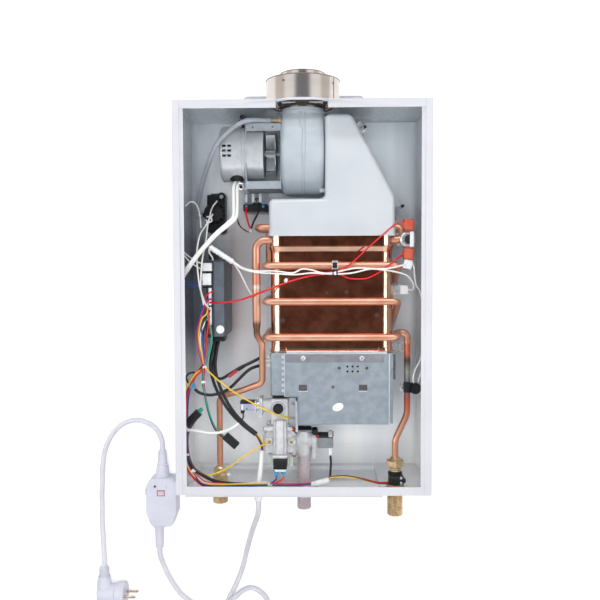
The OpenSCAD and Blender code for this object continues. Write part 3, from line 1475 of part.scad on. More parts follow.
module mains_cord() {
  last = len(coil_path) - 1;
  way_in = unit(coil_path[1] - coil_path[0]);
  way_out = unit(coil_path[last] - coil_path[last - 1]);
  color("#dfe0ea") {
    tube(concat(cord_first, [coil_path[0] - way_in * cord_d, coil_path[0] - way_in * seam]), cord_r);
    tube(concat([coil_path[last] + way_out * seam, coil_path[last] + way_out * cord_d], cord_second), cord_r);
  }
}

// The coil starts and ends on its left and right side
coil_middle = [-90, -509];
coil_turns = 2.5;
coil_out_r = 41;
coil_pitch = 8.6;
coil_layer = 8.6;
coil_steps = 24;
coil_start = 170;
coil_path = [
  for (i = [0:coil_turns * coil_steps])
    let (f = i / coil_steps, half = coil_turns / 2)
    let (a = coil_start + 360 * f)
    let (r = coil_out_r - coil_pitch * (f < half ? f : coil_turns - f))
    let (climb = max(0, min(1, (f - half + 0.25) * 2)))
    [coil_middle.x + r * cos(a), coil_middle.y + r * sin(a),
      cord_r + 0.3 + coil_layer * (3 * climb * climb - 2 * climb * climb * climb)]];
coil_self_gap = min([
  for (i = [0:len(coil_path) - 1], j = [i + coil_steps / 3:1:len(coil_path) - 1])
    norm(coil_path[i] - coil_path[j])]) - cord_d;
echo(coil_gap_to_itself = coil_self_gap, coil_length = length_of(coil_path));

module cord_coil() {
  color("#dfe0ea") tube(coil_path, cord_r, 6);
}

// Leakage breaker on the cord
breaker_x = -211.5;
breaker_y = [-264 - breaker_l, -264];
breaker_wall = 1.8;
breaker_bevel = 2;
breaker_top_t = breaker_wall + breaker_bevel;
relief_r = 5.6;
breaker_z = 14;
reset_w = 9;
reset_h = 6;
reset_y = -290;
test_w = 9;
test_y = -292.5;
button_gap = 0.4;
breaker_chamfer = 12;

// Outline of the breaker from above, narrower at its foot
module breaker_outline(inset) {
  w = breaker_w / 2 - inset;
  c = breaker_chamfer;
  polygon([[-w + c / 2, breaker_y[1] - inset], [w - c / 2, breaker_y[1] - inset], [w, breaker_y[1] - c / 2],
    [w, breaker_y[0] + c * 1.4], [w - c / 2, breaker_y[0] + inset], [-w + c / 2, breaker_y[0] + inset],
    [-w, breaker_y[0] + c * 1.4], [-w, breaker_y[1] - c / 2]]);
}

module breaker_body() {
  x = breaker_x;
  inner = breaker_h - breaker_top_t;
  color("#dfe0ec") difference() {
    union() {
      translate([x, 0, 0]) {
        linear_extrude(breaker_h - breaker_bevel) breaker_outline(0);
        linear_extrude(breaker_h) breaker_outline(breaker_bevel);
      }
      bar_y(x, [breaker_y[1] - 1, breaker_y[1] + 14], breaker_z, relief_r + 3);
      bar_y(x, [breaker_y[1], breaker_y[1] + 38], breaker_z, relief_r);
      bar_y(x - 6, [breaker_y[0] - 36, breaker_y[0] + 1], breaker_z, relief_r);
    }
    translate([x, 0, breaker_wall]) linear_extrude(inner - breaker_wall)
      breaker_outline(breaker_wall);
    box([x - reset_w / 2 - button_gap, x + reset_w / 2 + button_gap],
      [reset_y - reset_h / 2 - button_gap, reset_y + reset_h / 2 + button_gap], [inner - cut, breaker_h + cut]);
    box([x - breaker_w / 2 - cut, x - breaker_w / 2 + breaker_wall + cut],
      [test_y - test_w / 2 - button_gap, test_y + test_w / 2 + button_gap],
      [breaker_z - reset_h / 2 - button_gap, breaker_z + reset_h / 2 + button_gap]);
    bar_y(x, [breaker_y[1] + 26, breaker_y[1] + 38 + cut], breaker_z, cord_r);
    bar_y(x - 6, [breaker_y[0] - 36 - cut, breaker_y[0] - 24], breaker_z, cord_r);
  }
}

button_foot = 1.5;

// Reset button with a flange that keeps it in the housing
module reset_button() {
  x = breaker_x;
  y = reset_y;
  z1 = breaker_h - breaker_top_t - seam;
  color("#d9c3cf") {
    box([x - reset_w / 2, x + reset_w / 2], [y - reset_h / 2, y + reset_h / 2], [z1 - 8, breaker_h + 1]);
    box([x - reset_w / 2 - button_foot, x + reset_w / 2 + button_foot],
      [y - reset_h / 2 - button_foot, y + reset_h / 2 + button_foot], [z1 - 2, z1]);
  }
}

module test_button() {
  x1 = breaker_x - breaker_w / 2 + breaker_wall + seam;
  y = test_y;
  z = breaker_z;
  color("#cfd0ea") {
    box([breaker_x - breaker_w / 2 - 3, x1 + 8], [y - test_w / 2, y + test_w / 2],
      [z - reset_h / 2, z + reset_h / 2]);
    box([x1, x1 + 2], [y - test_w / 2 - button_foot, y + test_w / 2 + button_foot],
      [z - reset_h / 2 - button_foot, z + reset_h / 2 + button_foot]);
  }
}

// Cord from the breaker round to the plug
cord_plug = [[-211.5, -237.8, 14], [-211.5, -224, 14], [-213, -215, 11], [-218, -206, 7], [-226, -197, 4],
  [-238, -190, 4], [-253, -187, 4], [-269, -191, 4], [-283, -201, 4], [-294, -217, 4],
  [-301, -236, 4], [-304, -256, 4], [-305, -278, 4], [-306, -301, 4], [-306, -323, 4], [-306, -343, 5],
  [-304, -361, 8], [-302, -378, 13], [-300, -392, 18], [-300, -403, 19], [-300, -411.8, 19]];

module plug_cord() {
  color("#dfe0ea") tube(cord_plug, cord_r);
}

plug_x = -300;
plug_y = -446;
plug_face_x = plug_x + 32;
plug_relief = 28;

// Angled plug that lies on the rim of its round head
module mains_plug() {
  r = plug_d / 2;
  relief_end = -404;
  color("#dfe0ea") difference() {
    union() {
      bar_x([plug_face_x - 15, plug_face_x], plug_y, r, r);
      bar_x([plug_x - 9, plug_face_x - 14], plug_y, r, r * 0.8);
      cone_y(plug_x, [plug_y, relief_end - 12], r, r * 0.62, relief_r + 1);
      bar_y(plug_x, [relief_end - 14, relief_end], r, relief_r);
      for (i = [0:4])
        bar_y(plug_x, [relief_end - 13 + i * 2.4, relief_end - 12 + i * 2.4], r, relief_r + 0.7);
    }
    bar_y(plug_x, [relief_end - 8, relief_end + cut], r, cord_r);
  }
  color("#c9b9a8")
    for (i = [-1, 1])
      bar_x([plug_face_x - 2, plug_face_x + pin_l - 2], plug_y, r + i * pin_gap / 2, pin_d / 2);
}

back_shell();
top_panel();
bottom_panel();
hanging_plate();
lower_plate();
air_collar();
exhaust_spigot();
collar_gasket();
collar_screws();
fan_housing();
impeller();
motor_shaft();
cooling_fan();
motor_shell();
motor_front();
motor_core();
motor_bearings();
motor_bracket();
motor_grommet();
pressure_nipple();
pressure_hose();
pressure_switch();
fan_capacitor();
exhaust_hood();
hood_clips();
jacket();
fin_block();
fin_tube();
coil_tube();
wire_clip();
outlet_pipe();
outlet_port();
inlet_pipe();
flow_sensor();
flow_turbine();
inlet_port();
heat_sensors();
frost_stat();
burner_box();
burner_plate();
burner_bars();
nozzle_rail();
electrodes();
gas_valve();
valve_coil();
side_solenoids();
gas_elbow();
gas_pipe();
control_box();
control_plugs();
loom();
leads();
cord_gland();
mains_cord();
cord_coil();
breaker_body();
reset_button();
test_button();
plug_cord();
mains_plug();
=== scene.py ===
import json
import math
import random

import bmesh
import bpy
from mathutils import Matrix, Vector

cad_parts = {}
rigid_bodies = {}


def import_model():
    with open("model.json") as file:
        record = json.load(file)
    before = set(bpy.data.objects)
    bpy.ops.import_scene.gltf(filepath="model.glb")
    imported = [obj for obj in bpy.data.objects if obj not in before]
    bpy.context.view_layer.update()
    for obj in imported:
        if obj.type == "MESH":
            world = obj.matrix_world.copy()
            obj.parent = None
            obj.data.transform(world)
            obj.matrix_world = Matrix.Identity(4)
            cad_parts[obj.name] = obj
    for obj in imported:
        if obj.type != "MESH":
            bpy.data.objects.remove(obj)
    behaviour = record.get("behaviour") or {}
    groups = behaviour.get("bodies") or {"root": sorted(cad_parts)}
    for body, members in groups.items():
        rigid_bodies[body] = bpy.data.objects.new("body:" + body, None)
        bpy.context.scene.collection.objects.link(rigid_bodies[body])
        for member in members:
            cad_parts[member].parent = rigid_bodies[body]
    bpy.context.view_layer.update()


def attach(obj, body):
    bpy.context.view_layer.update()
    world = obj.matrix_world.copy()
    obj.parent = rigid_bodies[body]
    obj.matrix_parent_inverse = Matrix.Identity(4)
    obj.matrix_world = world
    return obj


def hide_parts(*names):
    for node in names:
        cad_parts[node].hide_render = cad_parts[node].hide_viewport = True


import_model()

# Every length below is in millimetres and MM takes it to metres.
MM = 0.001
# The case from its lower to its upper end and its depth, then the sides and middle of the copper box
TOP, BOTTOM, DEPTH = 253, -253, 155
JACKET_LEFT, JACKET_RIGHT, JACKET_BACK, JACKET_FRONT = -43, 118, 26.6, 125.1
JACKET_X, JACKET_Z = 37.5, 75.85
# A point on each axis that several pieces share: flue, fan, the three ports, and the lower gas way
FLUE, FAN = (0, 0, 80), (0, 196, 72)
HOT, GAS, COLD = (-115, 0, 95), (0, 0, 95), (122.5, 0, 112)
GAS_Y, VALVE_X = -194.3, -31.5


# ---------------------------------------------------------------- camera, floor and light

def set_camera():
    camera = bpy.data.cameras.new("camera")
    camera.lens = 44.1
    camera.sensor_width = 36
    holder = put("camera", camera)
    holder.location = (0.0161, 0.0430, 1.0900)
    holder.rotation_euler = [math.radians(a) for a in (-2.67, 1.18, -0.22)]
    bpy.context.scene.camera = holder


def rows(text):
    """Rows of numbers from a text in which commas part the rows; a list passes unchanged."""
    if not isinstance(text, str):
        return text
    return [[float(number) for number in row.split()] for row in text.split(",")]


def put(name, data):
    """Makes an object of its data and links it into the scene."""
    holder = bpy.data.objects.new(name, data)
    bpy.context.collection.objects.link(holder)
    return holder


def linear(code):
    """An sRGB hex colour as the linear colour that Blender takes."""
    parts = [int(code[i:i + 2], 16) / 255 for i in (1, 3, 5)]
    return [p / 12.92 if p <= 0.04045 else ((p + 0.055) / 1.055) ** 2.4 for p in parts] + [1.0]


def add(tree, kind, inputs=None, **settings):
    """Adds one node with its settings; inputs are values or the outputs that feed them."""
    node = tree.nodes.new(kind)
    for name, value in settings.items():
        setattr(node, name, value)
    for key, value in (inputs or {}).items():
        if isinstance(value, bpy.types.NodeSocket):
            tree.links.new(value, node.inputs[key])
        else:
            node.inputs[key].default_value = value
    return node


def set_world():
    """White to the camera, plain light to dull surfaces, a dark ceiling over a bright horizon to shiny ones."""
    world = bpy.data.worlds.new("studio")
    bpy.context.scene.world = world
    world.use_nodes = True
    tree = world.node_tree
    tree.nodes.clear()
    ray = add(tree, "ShaderNodeLightPath")
    way = add(tree, "ShaderNodeTexCoord").outputs["Generated"]
    height = add(tree, "ShaderNodeSeparateXYZ", {0: way}).outputs["Z"]
    ceiling = add(tree, "ShaderNodeValToRGB", {0: height})
    ramp = ceiling.color_ramp
    ramp.elements[0].position, ramp.elements[0].color = 0.0, linear("#DCD8D4")
    ramp.elements[1].position, ramp.elements[1].color = 0.93, linear("#6C7076")
    for height_share, colour in ((0.45, "#D2CDC9"), (0.58, "#FFFFFF"), (0.86, "#FBFBFC")):
        ramp.elements.new(height_share).color = linear(colour)
    overhead = add(tree, "ShaderNodeMapRange", {0: height, 1: 0.0, 2: 1.0, 3: 0.10, 4: 0.30}).outputs[0]
    plain = add(tree, "ShaderNodeMix", {0: ray.outputs["Is Glossy Ray"], 6: overhead,
                                        7: ceiling.outputs[0]}, data_type="RGBA").outputs[2]
    seen = add(tree, "ShaderNodeMix", {0: ray.outputs["Is Camera Ray"], 6: plain,
                                       7: (1, 1, 1, 1)}, data_type="RGBA").outputs[2]
    sky = add(tree, "ShaderNodeBackground", {"Color": seen})
    add(tree, "ShaderNodeOutputWorld", {"Surface": sky.outputs[0]})


LIT = (0, 0, 0.05)  # the point in metres at which all lamps aim


def set_lamps():
    """Soft boxes on four sides that shiny metal mirrors, and a wide one above that it doesn't."""
    for name, place, width, height, power, mirrored in [
            ("lamp_left", (-1.5, 0.1, 1.15), 0.28, 1.9, 7.5, True),
            ("lamp_right", (1.5, 0.1, 1.15), 0.28, 1.9, 7.0, True),
            ("lamp_head", (0.1, 1.6, 1.2), 1.8, 0.28, 14.0, True),
            ("lamp_foot", (0, -1.7, 1.2), 1.8, 0.28, 4.5, True),
            ("lamp_above", (0, -0.05, 2.4), 1.2, 1.2, 34.5, False)]:
        lamp = bpy.data.lights.new(name, "AREA")
        lamp.shape = "RECTANGLE"
        lamp.size, lamp.size_y, lamp.energy = width, height, power
        holder = put(name, lamp)
        holder.visible_glossy = mirrored
        holder.location = place
        holder.rotation_euler = (Vector(place) - Vector(LIT)).to_track_quat("Z", "Y").to_euler()


def set_floor():
    """A pale floor that the camera sees as white with a faint shadow."""
    mesh = bpy.data.meshes.new("floor")
    half, height = 6.0, -0.0006
    corners = [(x * half, y * half, height) for x, y in rows("-1 -1, 1 -1, 1 1, -1 1")]
    mesh.from_pydata(corners, [], [(0, 1, 2, 3)])
    floor = put("floor", mesh)
    paper = bpy.data.materials.new("white_paper")
    paper.use_nodes = True
    tree = paper.node_tree
    tree.nodes.clear()
    ray = add(tree, "ShaderNodeLightPath")
    either = add(tree, "ShaderNodeMath", {0: ray.outputs["Is Camera Ray"], 1: ray.outputs["Is Glossy Ray"]},
                 operation="MAXIMUM").outputs[0]
    seen = add(tree, "ShaderNodeMath", {0: either, 1: ray.outputs["Is Transmission Ray"]},
               operation="MAXIMUM").outputs[0]
    plain = add(tree, "ShaderNodeBsdfDiffuse", {"Color": linear("#E4E4E6")})
    shaded = add(tree, "ShaderNodeBsdfDiffuse", {"Color": linear("#B4B4B8")})
    glow = add(tree, "ShaderNodeEmission", {"Color": (1, 1, 1, 1), "Strength": 0.66})
    both = add(tree, "ShaderNodeAddShader", {0: shaded.outputs[0], 1: glow.outputs[0]})
    mixed = add(tree, "ShaderNodeMixShader", {0: seen, 1: plain.outputs[0], 2: both.outputs[0]})
    add(tree, "ShaderNodeOutputMaterial", {"Surface": mixed.outputs[0]})
    floor.data.materials.append(paper)


set_camera()
set_world()
set_lamps()
set_floor()
bpy.context.scene.view_settings.view_transform = "Standard"


# ---------------------------------------------------------------- finishes

def finish(name, colour, second, mottle, grain, rough, swing=0.06, relief=0.02, metal=0.0,
           stretch=(1, 1, 1), paint=None, **sockets):
    """A finish whose colour drifts towards a second one over mottle millimetres. The gloss swings both
    ways round rough, and it and a relief have a grain of their own size in millimetres.
    paint(tree, place, colour) adds what one finish has alone."""
    material = bpy.data.materials.new(name)
    material.use_nodes = True
    tree = material.node_tree
    shader = tree.nodes["Principled BSDF"]
    place = add(tree, "ShaderNodeTexCoord").outputs["Object"]
    laid = add(tree, "ShaderNodeMapping", {"Vector": place, "Scale": stretch}).outputs[0]
    clouds = add(tree, "ShaderNodeTexNoise", {"Vector": laid, "Scale": 1 / (mottle * MM), "Detail": 3.0})
    fine = add(tree, "ShaderNodeTexNoise", {"Vector": laid, "Scale": 1 / (grain * MM), "Detail": 2.0})
    share = add(tree, "ShaderNodeMapRange", {0: clouds.outputs[0], 1: 0.38, 2: 0.62}).outputs[0]
    tone = add(tree, "ShaderNodeMix", {0: share, 6: linear(colour), 7: linear(second)},
               data_type="RGBA").outputs[2]
    if paint:
        tone = paint(tree, place, tone)
    gloss = add(tree, "ShaderNodeMapRange", {0: fine.outputs[0], 1: 0.3, 2: 0.7, 3: max(0.02, rough - swing),
                                             4: rough + swing}).outputs[0]
    bump = add(tree, "ShaderNodeBump", {"Strength": 1.0, "Distance": relief * MM, "Height": fine.outputs[0]})
    tree.links.new(tone, shader.inputs["Base Color"])
    tree.links.new(gloss, shader.inputs["Roughness"])
    tree.links.new(bump.outputs[0], shader.inputs["Normal"])
    shader.inputs["Metallic"].default_value = metal
    for key, value in sockets.items():
        shader.inputs[key.replace("_", " ")].default_value = value
    return material


def bands(tree, place, axis, low, high, stops):
    """Colours laid along one axis between two heights; stops is a text of shares and colours."""
    along = add(tree, "ShaderNodeSeparateXYZ", {0: place}).outputs[axis]
    share = add(tree, "ShaderNodeMapRange", {0: along, 1: low * MM, 2: high * MM}).outputs[0]
    ramp = add(tree, "ShaderNodeValToRGB", {0: share})
    elements = ramp.color_ramp.elements
    shares, colours = zip(*[stop.split() for stop in stops.split(",")])
    for position, colour in zip(shares[1:-1], colours[1:-1]):
        elements.new(float(position)).color = linear(colour)
    for end in (0, -1):
        elements[end].position, elements[end].color = float(shares[end]), linear(colours[end])
    return ramp.outputs[0]


def inner_and_outer(tree, place, tone):
    """The case's blue-grey primer inside under painted light: upright streaks of painted reflection, painted
    shade towards the top and painted reflections of the control box and copper near the left wall; the
    lilac-white enamel stays outside.
    """
    from_middle = add(tree, "ShaderNodeVectorMath", {0: place, 1: (0, 0, DEPTH * MM / 2)},
                      operation="SUBTRACT").outputs[0]
    normal = add(tree, "ShaderNodeNewGeometry").outputs["True Normal"]
    facing = add(tree, "ShaderNodeVectorMath", {0: from_middle, 1: normal},
                 operation="DOT_PRODUCT").outputs["Value"]
    inside = add(tree, "ShaderNodeMath", {0: facing, 1: 0.0}, operation="LESS_THAN").outputs[0]
    # Upright streaks of painted reflection in the primer
    drawn = add(tree, "ShaderNodeMapping", {"Vector": place, "Scale": (30, 2.0, 12)}).outputs[0]
    painted_reflection_streaks = add(tree, "ShaderNodeTexNoise", {"Vector": drawn, "Scale": 1.0, "Detail": 3.0}).outputs[0]
    share = add(tree, "ShaderNodeMapRange", {0: painted_reflection_streaks, 1: 0.35, 2: 0.65}).outputs[0]
    # Both streak tones turn darker towards the top: painted shade
    light = bands(tree, place, "Y", -250, 250, "0 #FFFFFF, 0.3 #F8FBFF, 0.6 #E2E8EE, 1 #E6ECF1")
    dark = bands(tree, place, "Y", -250, 250, "0 #F2F6FA, 0.3 #EAF0F5, 0.6 #CFD8DF, 1 #D3DBE2")
    primer = add(tree, "ShaderNodeMix", {0: share, 6: light, 7: dark}, data_type="RGBA").outputs[2]
    # Painted reflections of the dark control box and the copper beside it near the left wall, kept to the
    # middle rows
    painted_neighbour_reflections = bands(tree, place, "X", -165, -50, "0 #9A9EA5, 0.09 #7B8087, 0.2 #999DA3, 0.34 #C2C5C9, "
                  "0.5 #B7ACAC, 0.6 #CFC2C0, 0.78 #E2DBDA, 1 #FFFFFF")
    beside = bands(tree, place, "Y", -130, 150, "0 #000000, 0.3 #FFFFFF, 0.75 #FFFFFF, 1 #000000")
    primer = add(tree, "ShaderNodeMix", {0: beside, 6: primer, 7: painted_neighbour_reflections}, data_type="RGBA",
                 blend_type="MULTIPLY").outputs[2]
    return add(tree, "ShaderNodeMix", {0: inside, 6: tone, 7: primer}, data_type="RGBA").outputs[2]


def heat_tints(tree, place, tone):
    """Colours that soldering left on the cold pipe, from the frost switch up to its top end."""
    tint = bands(tree, place, "Y", -240, -45, "0 #D99A7C, 0.35 #DDA488, 0.52 #D9694A, 0.62 #6E7F9C, "
                 "0.72 #A9B0A0, 0.8 #4A4340, 0.84 #E0795A, 1 #D98062")
    return add(tree, "ShaderNodeMix", {0: 0.95, 6: tone, 7: tint}, data_type="RGBA").outputs[2]


def solder_marks(tree, place, tone):
    """The reddened upper riser and the dark brazed joint where the pipe gets slimmer."""
    tint = bands(tree, place, "Y", -60, 90, "0 #DDA084, 0.1 #5A4238, 0.17 #6B4A3C, 0.21 #E2A98C, 0.47 #E7B79C, "
                 "0.5 #EDE3DC, 0.53 #D98870, 1 #E0A68C")
    return add(tree, "ShaderNodeMix", {0: 0.9, 6: tone, 7: tint}, data_type="RGBA").outputs[2]


def rolled_blotches(tree, place, tone):
    """Darker heat stains towards the top of the copper box, pale water spots on it, and painted highlights on
    its round corners, its bead and its foot.
    """
    stain = bands(tree, place, "Y", -70, 110, "0 #C77A58, 0.3 #B4664A, 0.7 #A85C42, 0.85 #6A4030, 1 #B06A4C")
    stained = add(tree, "ShaderNodeMix", {0: 0.4, 6: tone, 7: stain}, data_type="RGBA").outputs[2]
    for x, y, r in rows("57.1 8.4 3.4, 31.5 7.2 2.2, -27 -29 4.5, 97 -22 4"):
        away = add(tree, "ShaderNodeVectorMath", {0: place, 1: (x * MM, y * MM, JACKET_FRONT * MM)},
                   operation="DISTANCE").outputs["Value"]
        spot = add(tree, "ShaderNodeMapRange",
                   {0: away, 1: r * MM, 2: 0.45 * r * MM, 3: 0.0, 4: 0.4}).outputs[0]
        stained = add(tree, "ShaderNodeMix", {0: spot, 6: stained, 7: linear("#F0D8C8")},
                      data_type="RGBA").outputs[2]
    # Painted highlights: a near-white peach on the box's round corners, its bead and its foot
    across = add(tree, "ShaderNodeSeparateXYZ", {0: place}).outputs["X"]
    middle = add(tree, "ShaderNodeMath", {0: across, 1: JACKET_X * MM}, operation="SUBTRACT").outputs[0]
    out = add(tree, "ShaderNodeMath", {0: middle}, operation="ABSOLUTE").outputs[0]
    painted_corner_highlight = add(tree, "ShaderNodeMapRange", {0: out, 1: 0.0665, 2: 0.070}).outputs[0]
    painted_bead_and_foot_highlight = bands(tree, place, "Y", -72, 72, "0 #FFFFFF, 0.035 #FFFFFF, 0.045 #000000, 0.927 #000000, "
                  "0.932 #FFFFFF, 0.972 #FFFFFF, 0.977 #000000, 1 #000000")
    bright = add(tree, "ShaderNodeMath", {0: painted_corner_highlight, 1: painted_bead_and_foot_highlight}, operation="MAXIMUM").outputs[0]
    return add(tree, "ShaderNodeMix", {0: bright, 6: stained, 7: linear("#F6C9AE")},
               data_type="RGBA").outputs[2]


# After its name and two colours each finish has mottle, grain and roughness.
# Powder-coated steel sheet: a fine even orange peel with a soft gloss; its primer inside carries painted shade
# and painted reflections
case_paint = finish("powder_coat", "#D3D3DA", "#CECED6", 60, 2.2, 0.24, swing=0.04, relief=0.003,
                    paint=inner_and_outer, Coat_Weight=0.25, Coat_Roughness=0.15)
# Galvanised steel of the plates behind: a faint spangle under a dull gloss
zinc = finish("galvanised_steel", "#D3D9DF", "#C4CBD2", 7, 3, 0.38, swing=0.08, metal=0.45)
# The bracket's zinc, darkened as painted shade under the motor
shaded_zinc = finish("bracket_zinc", "#AAB2BA", "#9CA5AE", 9, 2, 0.36, metal=0.4)
zinc_satin = finish("satin_zinc", "#CBCFD4", "#C0C5CB", 12, 2, 0.34, metal=0.4)
# Painted deep-drawn hood and scroll: smooth pale blue-grey, softly shining
hood_paint = finish("pressed_sheet", "#C6CBD1", "#BEC4CB", 70, 2.5, 0.36, swing=0.05, relief=0.01, metal=0.1)
scroll_zinc = finish("drawn_galvanised_sheet", "#B6BFC6", "#AEB7C0", 22, 3, 0.45, swing=0.03,
                     relief=0.002, metal=0.06)
# Stainless sheet rolled round and polished: it mirrors the room in upright bands
stainless = finish("polished_stainless", "#D8D1CB", "#D1C9C3", 18, 1.2, 0.17,
                   swing=0.02, relief=0.001, metal=0.95, stretch=(0.08, 1, 0.08))
# Enamel and a lamp's lens: smooth, with a soft gloss
foot_enamel = finish("lilac_enamel", "#DCD9E0", "#D6D3DB", 40, 2, 0.3)
red_lens = finish("red_lens", "#7E2A30", "#6E232A", 5, 1, 0.3)
# The flue's rolled lip, browned by heat, then turned steel and rolled aluminium with a plain metal shine
lip_brown = finish("rolled_edge", "#8A7468", "#7A665B", 6, 1.5, 0.35, metal=0.6)
steel = finish("bright_steel", "#E2E4E6", "#D2D5D8", 6, 1.2, 0.28, metal=0.8)
aluminium = finish("sheet_aluminium", "#C9CDD0", "#BFC3C7", 9, 1.4, 0.34, metal=0.9)
# Sand-cast aluminium: a coarse grey skin with a dull shine
casting = finish("cast_aluminium", "#D0D1D4", "#C2C4C7", 6, 1.8, 0.48, swing=0.1, relief=0.06, metal=0.3)
# Stacked motor laminations: brown edges with a dry metal shine
iron = finish("motor_laminations", "#7D6A4F", "#5F5242", 5, 1.2, 0.5, metal=0.6)
# Rolled copper sheet, bright as a mirror but wavy and stained by the flame, with painted highlights on its
# corners, bead and foot
copper_sheet = finish("rolled_copper", "#DE8866", "#A0583F", 17, 38, 0.15, swing=0.05, relief=0.55,
                      metal=1.0, paint=rolled_blotches)
# Drawn copper tube, paler and softer in its shine, two of the tubes with marks of the soldering flame
copper_tube, riser_tube, inlet_tube = [
    finish(name, "#E2AE95", "#D79C81", 24, 9, 0.34, swing=0.05, relief=0.004, metal=0.7, paint=marks)
    for name, marks in (("drawn_copper", None), ("brazed_copper", solder_marks), ("tinted_copper", heat_tints))]
# Machined brass: a soft yellow shine
brass = finish("machined_brass", "#DCC6A0", "#CFB389", 6, 1.4, 0.3, metal=0.7)
# Galvanised sheet round the burner: blue-grey and dulled by heat
burner_sheet = finish("burner_sheet", "#99A3AD", "#8D98A2", 11, 2.4, 0.36, swing=0.08, metal=0.35)
strip_sheet = finish("joint_strip", "#94969E", "#888A93", 9, 2, 0.4, metal=0.6)
# Moulded rubber: near black and almost without shine
black_rubber = finish("black_rubber", "#0F1012", "#17181A", 9, 1.2, 0.55)
# Moulded nylon and ABS: even colours with a soft shine
black_plastic = finish("black_nylon", "#121316", "#191A1D", 8, 1.2, 0.42)
nylon = finish("white_nylon", "#ECEDEE", "#E2E3E5", 9, 1.4, 0.38, Subsurface_Weight=0.05)
slate = finish("slate_abs", "#5C6672", "#525B67", 14, 1.3, 0.42)
slate_dark = finish("dark_slate_abs", "#3D4550", "#363D47", 10, 1.3, 0.45)
dull_grey = finish("grey_abs", "#8B9096", "#82878D", 8, 1.2, 0.45)
# Glazed ceramic: white under a small sharp gloss
ceramic = finish("glazed_ceramic", "#F0EFEC", "#E6E3DD", 7, 1.5, 0.2)
# Extruded vinyl and moulded silicone: even waxy skins
hose_vinyl = finish("grey_vinyl_hose", "#A9ADB8", "#9EA3AF", 14, 2, 0.4, Subsurface_Weight=0.05)
cord_vinyl = finish("cord_vinyl", "#D9D9E1", "#D3D3DC", 18, 1.8, 0.42)
silicone = finish("red_silicone", "#C9583F", "#BD4C35", 8, 1.6, 0.45)
# ABS and polycarbonate from polished moulds: pale tints, a little glossier than the nylon
breaker_abs = finish("breaker_abs", "#D3D4E1", "#CECFDD", 20, 1.2, 0.36, relief=0.015)
lilac = finish("lilac_pc", "#CFD0EA", "#C6C7E4", 9, 1.4, 0.3)
pink = finish("pink_pc", "#D9C3CF", "#D2B8C6", 9, 1.4, 0.3)
rose_rim = finish("rose_pc", "#B88A97", "#AE808D", 6, 1.2, 0.4)
# Painted and vinyl-covered small parts: one strong colour on each
blue_crimp = finish("blue_crimp", "#34A7D8", "#2C98C8", 5, 1, 0.35)
red_seal = finish("red_seal", "#B5303A", "#A32933", 5, 1, 0.4)
green_mark = finish("green_mark", "#3FA36A", "#389460", 5, 1, 0.5)
# Paper, print and fibre gasket: pale, dry and flat
sticker = finish("bare_sticker", "#F3F3F1", "#ECECEA", 9, 1.4, 0.45)
# A grey for print, also laid in the plug grip's grooves as painted shade
grey_print_and_shade = finish("grey_print_and_painted_shade", "#C9CDD2", "#BFC4CA", 4, 1, 0.5)
pale_gasket = finish("pale_gasket", "#BFD0C4", "#B4C6BA", 7, 1.5, 0.6)
# Nickel-plated brass pins: small mirrors with a warm cast
pin_brass = finish("nickel_pin", "#C9B9A8", "#B9A795", 4, 1, 0.25, metal=1.0)
# Passivated and heat-dulled steels: tinted greys under a satin shine
lilac_zinc = finish("lilac_passivate", "#B9B6D6", "#A9A7C9", 7, 1.4, 0.34, metal=0.4)
zinc_pink = finish("pink_passivate", "#D3C8CA", "#CBBFC1", 9, 1.4, 0.32, metal=0.6)
window_steel = finish("burner_bar_steel", "#6A666C", "#5A575D", 5, 1.2, 0.45, metal=0.5)


def wire_skin(name, colour):
    """Extruded vinyl insulation: an even colour with a soft waxy shine."""
    return finish(name, colour, colour, 20, 2.5, 0.38, swing=0.05)


# The wires' finishes by the letters that the lists of runs use
WIRES = {letter: wire_skin(name + "_wire", colour) for letter, name, colour in (
    ("r", "red", "#D5232B"), ("y", "yellow", "#E9C63A"), ("t", "teal", "#1FA38C"), ("w", "white", "#EDEDEC"),
    ("b", "blue", "#24479E"), ("m", "magenta", "#C2266E"), ("k", "black", "#1A1A1D"), ("n", "brown", "#6B3A24"),
    ("o", "orange", "#D9482C"))}

for skin, names in (
        (case_paint, "back_shell top_panel bottom_panel lower_plate"),
        (zinc_satin, "hanging_plate motor_shell motor_front gas_pipe"),
        (stainless, "air_collar exhaust_spigot"), (black_rubber, "collar_gasket motor_grommet"),
        (steel, "collar_screws motor_shaft motor_bearings hood_clips wire_clip side_solenoids"),
        (scroll_zinc, "fan_housing"), (aluminium, "impeller cooling_fan"), (iron, "motor_core"),
        (shaded_zinc, "motor_bracket"), (brass, "pressure_nipple outlet_port inlet_port"),
        (black_plastic, "pressure_switch fan_capacitor flow_sensor heat_sensors frost_stat valve_coil"),
        (hood_paint, "exhaust_hood"), (copper_sheet, "jacket fin_block"),
        (copper_tube, "fin_tube coil_tube"), (riser_tube, "outlet_pipe"), (inlet_tube, "inlet_pipe"),
        (nylon, "flow_turbine control_plugs cord_gland"),
        (burner_sheet, "burner_box burner_plate burner_bars"), (casting, "nozzle_rail gas_valve gas_elbow"),
        (ceramic, "electrodes"), (slate, "control_box"), (breaker_abs, "breaker_body mains_plug"),
        (pink, "reset_button"), (lilac, "test_button")):
    for name in names.split():
        for holder in bpy.data.objects[name].material_slots:
            holder.material = skin


# ---------------------------------------------------------------- shapes

def rounded(route, radius, steps=10):
    """A route of straight runs with each corner turned into an arc."""
    points = [Vector(p) for p in rows(route)]
    path = [points[0]]
    for a, b, c in zip(points, points[1:], points[2:]):
        u, v = (a - b).normalized(), (c - b).normalized()
        half = math.acos(max(-1, min(1, u.dot(v)))) / 2
        turn = math.pi - 2 * half
        if turn < 0.02:
            path.append(b)
            continue
        middle = b + (u + v).normalized() * radius / math.sin(half)
        start, end = b + u * radius / math.tan(half) - middle, b + v * radius / math.tan(half) - middle
        path += [middle + (start * math.sin(turn * (1 - i / steps)) + end * math.sin(turn * i / steps))
                 / math.sin(turn) for i in range(steps + 1)]
    return path + [points[-1]]


